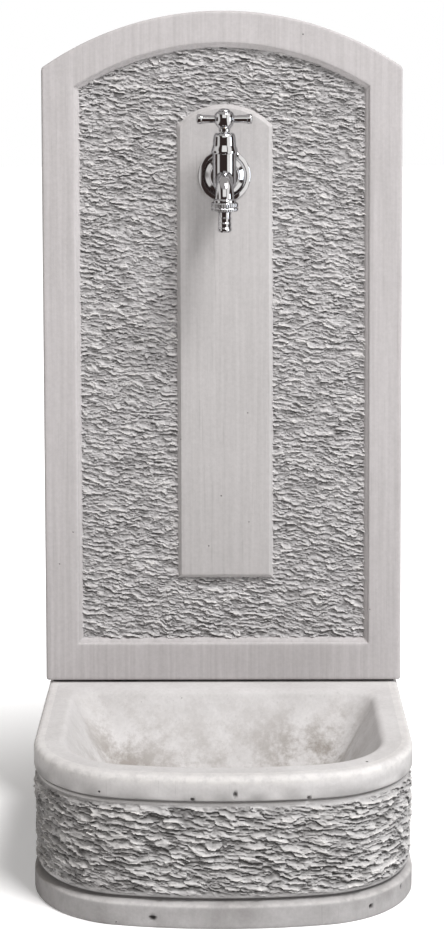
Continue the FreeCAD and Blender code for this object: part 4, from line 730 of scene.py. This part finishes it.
def metal(name, bright, dull, smear, roughness, scale=60.0, bump=0.1, whole=1.0, edge=1.0):
    """A metal finish from the shared wear effect. whole is 0 for plastics, and edge below 1 darkens the
    reflections seen along the surface."""
    made = bpy.data.materials.new(name)
    made.use_nodes = True
    tree = made.node_tree
    shader = tree.nodes["Principled BSDF"]
    shader.inputs["Metallic"].default_value = whole
    shader.inputs["Specular Tint"].default_value = (edge, edge, edge, 1)
    wear = node(tree, "ShaderNodeGroup", node_tree=METAL_WEAR)
    for label, value in (("Metal", bright + (1,)), ("Dull", dull + (1,)), ("Smear", smear),
                         ("Base Roughness", roughness), ("Scale", scale)):
        wear.inputs[label].default_value = value
    ripple = node(tree, "ShaderNodeBump", {"Height": wear.outputs["Height"], "Distance": 0.0002,
                                           "Strength": bump})
    tree.links.new(wear.outputs["Color"], shader.inputs["Base Color"])
    tree.links.new(wear.outputs["Roughness"], shader.inputs["Roughness"])
    tree.links.new(ripple.outputs[0], shader.inputs["Normal"])
    return made


chrome = metal("chrome", (0.74, 0.74, 0.76), (0.55, 0.54, 0.55), 0.2, 0.05, edge=0.35)


def fitted(piece, body, slot, material, *nodes):
    """Give a piece its finish and its body, and hide the nodes that it stands for. The slot is not used."""
    piece.data.materials.append(material)
    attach(piece, body)
    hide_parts(*nodes)
    return piece


flange_low, flange_high = np.array(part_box("wall_flange"))
TAP_X, FLANGE_BACK = (flange_low[0] + flange_high[0]) / 2, flange_high[1]
INLET_Z, FLANGE_R = (flange_low[2] + flange_high[2]) / 2, (flange_high[0] - flange_low[0]) / 2
FLANGE_OUT = flange_high[1] - flange_low[1]
flange_shape = [(0.0118, FLANGE_OUT - 0.0018), (0.0180, FLANGE_OUT - 0.0018), (FLANGE_R - 0.0080, 0.0028),
                (FLANGE_R - 0.0030, 0.0002), (FLANGE_R - 0.0006, 0.0002), (FLANGE_R, 0.0012),
                (FLANGE_R - 0.0006, 0.0022), (FLANGE_R - 0.0052, 0.0044), (FLANGE_R - 0.0068, 0.0036),
                (FLANGE_R - 0.0090, 0.0028), (FLANGE_R - 0.0112, 0.0044), (0.0176, FLANGE_OUT - 0.0012),
                (0.0164, FLANGE_OUT), (0.0118, FLANGE_OUT), (0.0118, FLANGE_OUT - 0.0018)]
wall_flange = lathed("tap_rosette", flange_shape, (TAP_X, FLANGE_BACK, INLET_Z), "forward", 0.0009, 96)
fitted(wall_flange, "castings", "chrome_trim", chrome, "wall_flange")


# ---------------------------------------------------------------- tap: body and spout
# One cast, polished and chromed brass body: a short boss from the wall, an upright valve chamber with a
# rounded foot, and a spout that comes forward and bends down to a collar. It screws into the wall socket.

cover_low, cover_high = np.array(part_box("bonnet_cover"))
body_low, body_high = np.array(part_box("tap_body"))
nut_low, nut_high = np.array(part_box("union_nut"))
VALVE_Y, SPOUT_Y = (cover_low[1] + cover_high[1]) / 2, (nut_low[1] + nut_high[1]) / 2
CHAMBER_R, CHAMBER_TOP, OUTLET_Z = 0.01375, body_high[2], body_low[2]
CHAMBER_FOOT, BEND = 0.7705, 0.022   # the chamber's lowest point, and the radius of the spout's bend
boss_out = FLANGE_BACK - VALVE_Y     # from the valve's centre line to the wall


def swept(name, path, radius, around=48):
    """A round bar along a path in the tap's upright plane: at each point the ring
    path + radius * (cos a * sideways + sin a * crosswise), where crosswise is the heading turned upright."""
    heading = np.gradient(path, axis=0)
    heading /= np.linalg.norm(heading, axis=1, keepdims=True)
    angle = np.linspace(0, 2 * np.pi, around, endpoint=False)
    side = np.array([1.0, 0.0, 0.0])
    cross = np.cross(heading, side)
    ring = np.cos(angle)[None, :, None] * side + np.sin(angle)[None, :, None] * cross[:, None, :]
    grid = path[:, None, :] + np.asarray(radius)[:, None, None] * ring
    return surface(name, grid, around=True, crisp=50)


def merged(name, pieces):
    """Several meshes made one, each still closed."""
    shape = bmesh.new()
    for piece in pieces:
        shape.from_mesh(piece.data)
        bpy.data.objects.remove(piece)
    mesh = bpy.data.meshes.new(name)
    shape.to_mesh(mesh)
    shape.free()
    mesh.shade_smooth()
    mesh.set_sharp_from_angle(angle=np.radians(50))
    piece = bpy.data.objects.new(name, mesh)
    bpy.context.scene.collection.objects.link(piece)
    return piece


flange_face = boss_out - FLANGE_OUT
boss_shape = [(0, -0.004), (0.0125, -0.004), (0.0125, flange_face - 0.003), (0.0134, flange_face - 0.0025),
              (0.0134, flange_face + 0.0014), (0.0102, flange_face + 0.0016), (0.0102, boss_out + 0.013),
              (0, boss_out + 0.013)]
boss = lathed("boss", boss_shape, (TAP_X, VALVE_Y, INLET_Z), "back", 0.0005)
chamber_shape = [(0, CHAMBER_FOOT), (0.0070, CHAMBER_FOOT), (0.0122, CHAMBER_FOOT + 0.0016),
                 (CHAMBER_R, CHAMBER_FOOT + 0.0070), (CHAMBER_R, CHAMBER_TOP), (0.0106, CHAMBER_TOP),
                 (0.0106, CHAMBER_TOP - 0.012), (0, CHAMBER_TOP - 0.012)]
chamber = lathed("chamber", chamber_shape, (TAP_X, VALVE_Y, 0), "up", 0.0030)
bend = np.linspace(0, np.pi / 2, 22)
forward = np.linspace(VALVE_Y - 0.002, SPOUT_Y + BEND, 6, endpoint=False)
path_y = np.concatenate([forward, SPOUT_Y + BEND * (1 - np.sin(bend)), [SPOUT_Y] * 4])
drop = np.linspace(INLET_Z - BEND, OUTLET_Z + 0.004, 5)[1:]
path_z = np.concatenate([np.full(6, INLET_Z), INLET_Z - BEND * (1 - np.cos(bend)), drop])
path = np.stack([np.full(len(path_y), TAP_X), path_y, path_z], axis=-1)
travel = np.linspace(0, 1, len(path))
spout = swept("spout", path, np.interp(travel, [0, 0.35, 1], [0.0104, 0.0100, 0.0112]))
collar_shape = [(0.0070, OUTLET_Z), (0.0131, OUTLET_Z), (0.0131, OUTLET_Z + 0.0045),
                (0.0112, OUTLET_Z + 0.0062), (0.0100, OUTLET_Z + 0.0064), (0.0070, OUTLET_Z + 0.0064),
                (0.0070, OUTLET_Z)]
collar = lathed("collar", collar_shape, (TAP_X, SPOUT_Y, 0), "up", 0.0006)
tap_casting = merged("tap_casting", [boss, chamber, spout, collar])
fitted(tap_casting, "castings", "chrome_body", chrome, "tap_body")


# ---------------------------------------------------------------- tap: bonnet cover, union nut and hose tail
# The cover is a spun, chromed cup that hides the bonnet and its packing. Below, a round union nut with a
# knurled edge clamps the ribbed tail, which a garden hose is pushed over.

def knurled(piece, centre, radius, foot, top, count, deep):
    """Flutes on a nut's rim: points near the rim and between two heights move in by deep * |sin|."""
    place = np.empty(len(piece.data.vertices) * 3, np.float32)
    piece.data.vertices.foreach_get("co", place)
    place = place.reshape(-1, 3)
    away = place[:, :2] - np.array(centre[:2])
    reach = np.maximum(np.linalg.norm(away, axis=1), 1e-9)
    turn = np.arctan2(away[:, 1], away[:, 0])
    on_rim = (reach > radius - 0.0006) & (place[:, 2] > foot) & (place[:, 2] < top)
    place[:, :2] -= away / reach[:, None] * (on_rim * deep * np.abs(np.sin(turn * count / 2)))[:, None]
    piece.data.vertices.foreach_set("co", place.ravel())
    piece.data.update()


COVER_R, COVER_TOP_R = (cover_high[0] - cover_low[0]) / 2, 0.0128
cover_foot, cover_top = cover_low[2], cover_high[2]
cover_shape = [(COVER_R - 0.0013, cover_foot), (COVER_R, cover_foot), (COVER_R, cover_foot + 0.0030),
               (COVER_TOP_R + 0.0008, cover_foot + 0.0090), (COVER_TOP_R, cover_top - 0.0030),
               (COVER_TOP_R - 0.0022, cover_top), (0.0082, cover_top), (0.0082, cover_top - 0.0013),
               (COVER_TOP_R - 0.0024, cover_top - 0.0013), (COVER_TOP_R - 0.0005, cover_foot + 0.0090),
               (COVER_R - 0.0013, cover_foot + 0.0030), (COVER_R - 0.0013, cover_foot)]
bonnet_cover = lathed("tap_bonnet_cover", cover_shape, (TAP_X, VALVE_Y, 0), "up", 0.0016)
fitted(bonnet_cover, "castings", "chrome_trim", chrome, "bonnet_cover")

NUT_R, nut_foot, nut_top = (nut_high[0] - nut_low[0]) / 2, nut_low[2], nut_high[2]
nut_shape = [(0.0082, nut_foot), (NUT_R - 0.0010, nut_foot), (NUT_R, nut_foot + 0.0010),
             (NUT_R, nut_foot + 0.0034), (NUT_R - 0.0007, nut_foot + 0.0040),
             (NUT_R - 0.0007, nut_foot + 0.0046), (NUT_R, nut_foot + 0.0052), (NUT_R, nut_top - 0.0010),
             (NUT_R - 0.0010, nut_top), (0.01325, nut_top), (0.01325, nut_foot + 0.0022),
             (0.0082, nut_foot + 0.0022), (0.0082, nut_foot)]
union_nut = lathed("tap_union_nut", nut_shape, (TAP_X, SPOUT_Y, 0), "up", 0.0005, 240)
knurled(union_nut, (TAP_X, SPOUT_Y, 0), NUT_R, nut_foot + 0.0008, nut_top - 0.0008, 40, 0.0005)
fitted(union_nut, "castings", "chrome_trim", chrome, "union_nut")

tail_low, tail_high = np.array(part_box("hose_tail"))
tail_foot, tail_top = tail_low[2], tail_high[2]
BARB_R, NECK_R, TAIL_BORE = 0.0080, 0.0073, 0.00475
ribs = [point for lift in (0.006, 0.012, 0.018)
        for point in ((BARB_R, tail_foot + lift - 0.0016), (NECK_R, tail_foot + lift - 0.0004),
                      (NECK_R, tail_foot + lift + 0.0002))]
tail_shape = [(TAIL_BORE, tail_top), (TAIL_BORE, tail_foot), (NECK_R - 0.0006, tail_foot),
              (BARB_R, tail_foot + 0.0020)] + ribs
tail_shape += [(BARB_R, nut_foot - 0.0010), (0.0074, nut_foot - 0.0010), (0.0074, nut_foot + 0.0023),
               (0.01125, nut_foot + 0.0023), (0.01125, tail_top), (TAIL_BORE, tail_top)]
hose_tail = lathed("tap_hose_tail", tail_shape, (TAP_X, SPOUT_Y, 0), "up", 0.0003)
fitted(hose_tail, "castings", "chrome_body", chrome, "hose_tail")


# ---------------------------------------------------------------- tap: handle
# A chromed cast handle on the spindle's square: a waisted hub, two tapered arms with ball ends and a snap-in
# cap over its screw. It turns and rises with the spindle.

cap_low, cap_high = np.array(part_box("handle_cap"))
handle_low, handle_high = np.array(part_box("t_handle"))
ARM_Z, HUB_R = 0.8536, 0.0122        # the height of the arms' centre line, and the hub's radius
HUB_TOP, HANDLE_FOOT, REACH = cap_low[2], handle_low[2], (handle_high[0] - handle_low[0]) / 2
hub_shape = [(0.0042, HUB_TOP - 0.004), (0.0042, HANDLE_FOOT), (0.0064, HANDLE_FOOT),
             (0.0067, HANDLE_FOOT + 0.0008), (0.0067, HANDLE_FOOT + 0.0040),
             (0.0076, HANDLE_FOOT + 0.0048), (0.0106, ARM_Z - 0.0062), (HUB_R, ARM_Z - 0.0024),
             (HUB_R, ARM_Z + 0.0024), (0.0104, HUB_TOP - 0.0018), (0.0080, HUB_TOP), (0.0050, HUB_TOP),
             (0.0050, HUB_TOP - 0.004), (0.0042, HUB_TOP - 0.004)]
hub = lathed("hub", hub_shape, (TAP_X, VALVE_Y, 0), "up", 0.0016)
arm_shape = [(0, 0.0030), (0.0044, 0.0030), (0.0042, 0.0120), (0.0050, REACH - 0.0075),
             (0.0051, REACH - 0.0062), (0.0058, REACH - 0.0056), (0.0059, REACH - 0.0024),
             (0.0052, REACH - 0.0008), (0.0030, REACH - 0.0001), (0, REACH)]
arms = [lathed("arm", arm_shape, (TAP_X, VALVE_Y, ARM_Z), side, 0.0005, 48) for side in ("right", "left")]
tap_handle = merged("tap_handle", [hub] + arms)
fitted(tap_handle, "handle", "chrome_trim", chrome, "t_handle")
CAP_R, cap_foot, cap_top = (cap_high[0] - cap_low[0]) / 2, cap_low[2], cap_high[2]
cap_shape = [(0, cap_foot), (CAP_R, cap_foot), (CAP_R, cap_foot + 0.0008),
             (CAP_R - 0.0008, cap_foot + 0.0020), (CAP_R - 0.0028, cap_top - 0.0005),
             (CAP_R - 0.0045, cap_top), (0, cap_top)]
handle_cap = lathed("tap_handle_cap", cap_shape, (TAP_X, VALVE_Y, 0), "up", 0.0009)
fitted(handle_cap, "handle", "chrome_trim", chrome, "handle_cap")


# ---------------------------------------------------------------- fittings kept as the design has them
# Bought-in parts with plain machined shapes: valve headworks, pipe, couplings, clips, screws, seals and the
# drain. Each keeps its designed shape and gets the finish of its real material.

def dress(material, *names):
    """Give CAD nodes a better finish on their own slots."""
    for name in names:
        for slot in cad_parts[name].material_slots:
            slot.material = material


dress(chrome, "gland_nut", "spindle")
for *finish, pieces in (
    ("brass", (0.72, 0.50, 0.22), (0.38, 0.26, 0.13), 0.5, 0.22, 90.0, 0.3,
     "bonnet extension wall_elbow compression_nuts inlet_adaptor drain_tube drain_backnut jumper_plate"),
    ("copper", (0.78, 0.40, 0.24), (0.34, 0.18, 0.12), 0.6, 0.20, 45.0, 0.2,
     "riser_pipe olives"),
    ("stainless", (0.60, 0.60, 0.61), (0.42, 0.42, 0.43), 0.4, 0.28, 140.0, 0.3,
     "dowel_pins tie_sockets drain_strainer drain_screw washer_screw handle_screw"),
    ("zinc_steel", (0.58, 0.57, 0.53), (0.36, 0.34, 0.28), 0.7, 0.32, 200.0, 0.3,
     "fixing_screws"),
    ("black_rubber", (0.030, 0.030, 0.032), (0.075, 0.073, 0.070), 0.7, 0.62, 160.0, 0.6, 0.0,
     "union_seal strainer_seal drain_seal valve_washer"),
    ("red_fibre", (0.36, 0.10, 0.07), (0.22, 0.07, 0.05), 0.8, 0.75, 300.0, 0.8, 0.0,
     "inlet_seal bonnet_gasket"),
    ("packing", (0.80, 0.79, 0.75), (0.60, 0.58, 0.53), 0.6, 0.55, 300.0, 0.6, 0.0,
     "gland_packing"),
    ("white_plastic", (0.78, 0.78, 0.76), (0.60, 0.59, 0.55), 0.4, 0.42, 120.0, 0.3, 0.0,
     "pipe_clips"),
    ("grey_plastic", (0.30, 0.31, 0.32), (0.20, 0.20, 0.20), 0.4, 0.46, 120.0, 0.3, 0.0,
     "screw_plugs drain_pipe")):
    dress(metal(*finish), *pieces.split())
# the mortar is near-black: painted shade for the shadow line in the joint under the slab
dress(concrete("mortar", (0.035, 0.034, 0.033), (0.018, 0.018, 0.017), 0.7, 0.1, 1.0), "mortar_bed")


# ---------------------------------------------------------------- studio
# A plain pale floor, a large soft light high in front on the right, a weaker cool one low on the right, and
# a long lens near the height of the slab's top. The chrome mirrors a dark room that has a window on its
# right, a doorway on its left and a pale ceiling that reaches down in front.

def box_light(name, place, aim, size, watts, tint=(1, 1, 1)):
    """A flat soft light at a place, turned to face a point."""
    lamp = bpy.data.lights.new(name, "AREA")
    lamp.shape, lamp.size, lamp.size_y = "RECTANGLE", size[0], size[1]
    lamp.energy, lamp.color = watts, tint
    made = bpy.data.objects.new(name, lamp)
    bpy.context.scene.collection.objects.link(made)
    way = np.array(aim, float) - np.array(place, float)
    made.location = place
    made.rotation_euler = (np.arctan2(np.hypot(way[0], way[1]), -way[2]), 0,
                           np.arctan2(way[1], way[0]) - np.pi / 2)
    return made


box_light("key", (2.0, -2.5, 5.6), (0, 0.1, 0.55), (1.8, 1.8), 410, (1.0, 0.985, 0.985))
box_light("side", (2.6, -0.9, 0.7), (0.1, 0, 0.3), (0.8, 1.6), 12, (0.88, 0.94, 1.0))

ring_at = np.linspace(0, 2 * np.pi, 96, endpoint=False)
floor_rows = np.array([0.0, 0.5, 1.5, 4.0, 12.0])
floor_plan = floor_rows[:, None, None] * np.stack([np.cos(ring_at), np.sin(ring_at)], axis=-1)[None]
floor = surface("floor", at_height(floor_plan[::-1], 0.0), around=True)
paper = bpy.data.materials.new("floor_paper")
paper.use_nodes = True
tree = paper.node_tree
shader = tree.nodes["Principled BSDF"]
shader.inputs["Roughness"].default_value = 0.9
shader.inputs["Specular IOR Level"].default_value = 0.1
shader.inputs["Emission Color"].default_value = (1, 1, 1, 1)
spot = node(tree, "ShaderNodeTexCoord").outputs["Object"]
away = node(tree, "ShaderNodeVectorMath", {0: spot}, operation="LENGTH").outputs["Value"]
direct = sums(tree, "MULTIPLY_ADD", node(tree, "ShaderNodeLightPath").outputs["Is Camera Ray"], 0.75, 0.25)
glow = sums(tree, "MULTIPLY", ranged(tree, away, 0.28, 0.80, 0.30, 0.95), direct)
tree.links.new(glow, shader.inputs["Emission Strength"])
fibres = ranged(tree, hills(tree, spot, 30, 4), 0, 1, 0.84, 0.90)
tree.links.new(node(tree, "ShaderNodeCombineColor", {0: fibres, 1: fibres, 2: fibres}).outputs[0],
               shader.inputs["Base Color"])
floor.data.materials.append(paper)
floor.visible_glossy = False

world = bpy.data.worlds.new("studio")
world.use_nodes = True
bpy.context.scene.world = world
tree = world.node_tree
tree.nodes.clear()
rays = node(tree, "ShaderNodeLightPath").outputs
sky = node(tree, "ShaderNodeSeparateXYZ", {0: node(tree, "ShaderNodeTexCoord").outputs["Generated"]}).outputs
window = sums(tree, "MULTIPLY", ranged(tree, sky[0], 0.44, 0.50), ranged(tree, sky[0], 0.88, 0.82))
window = sums(tree, "MULTIPLY", window, ranged(tree, sky[1], 0.1, -0.1))
doorway = sums(tree, "MULTIPLY", ranged(tree, sky[0], -0.72, -0.80), ranged(tree, sky[0], -0.99, -0.93))
ceiling = ranged(tree, sky[2], 0.62, 0.72)
ahead = sums(tree, "MULTIPLY", ranged(tree, sums(tree, "ABSOLUTE", sky[0], 0.0), 0.40, 0.30),
             ranged(tree, sky[2], 0.18, 0.24))
ahead = sums(tree, "MULTIPLY", ahead, ranged(tree, sky[2], 0.75, 0.62))
ceiling = sums(tree, "MAXIMUM", sums(tree, "MULTIPLY", ceiling, 0.30), ahead)
room = sums(tree, "MAXIMUM", sums(tree, "MULTIPLY", window, 1.6), sums(tree, "MULTIPLY", doorway, 0.7))
room = node(tree, "ShaderNodeClamp", {0: sums(tree, "MAXIMUM", room, sums(tree, "MULTIPLY", ceiling, 1.2)),
                                      2: 2.0}).outputs[0]
mirrored = mixed(tree, room, (0.040, 0.028, 0.026, 1), (1.0, 0.98, 0.95, 1))
ambient = mixed(tree, rays["Is Glossy Ray"], (0.16, 0.147, 0.138, 1), mirrored)
seen_sky = mixed(tree, rays["Is Camera Ray"], ambient, (1, 1, 1, 1))
background = node(tree, "ShaderNodeBackground", {"Color": seen_sky, "Strength": 1.0})
tree.links.new(background.outputs[0], node(tree, "ShaderNodeOutputWorld").inputs[0])
bpy.context.scene.view_settings.view_transform = "Standard"

lens = bpy.data.cameras.new("camera")
lens.sensor_fit, lens.sensor_width, lens.sensor_height = "VERTICAL", 36.0, 36.0
lens.lens = 82.91
lens.shift_y = -0.30
lens.clip_end = 40.0
camera = bpy.data.objects.new("camera", lens)
bpy.context.scene.collection.objects.link(camera)
CAMERA_PITCH = 0.0778               # radians that the lens looks down
camera.location = (0.0061, -2.4627, 0.9696)
camera.rotation_euler = (np.pi / 2 - CAMERA_PITCH, 0.0026, 0.0022)
bpy.context.scene.camera = camera
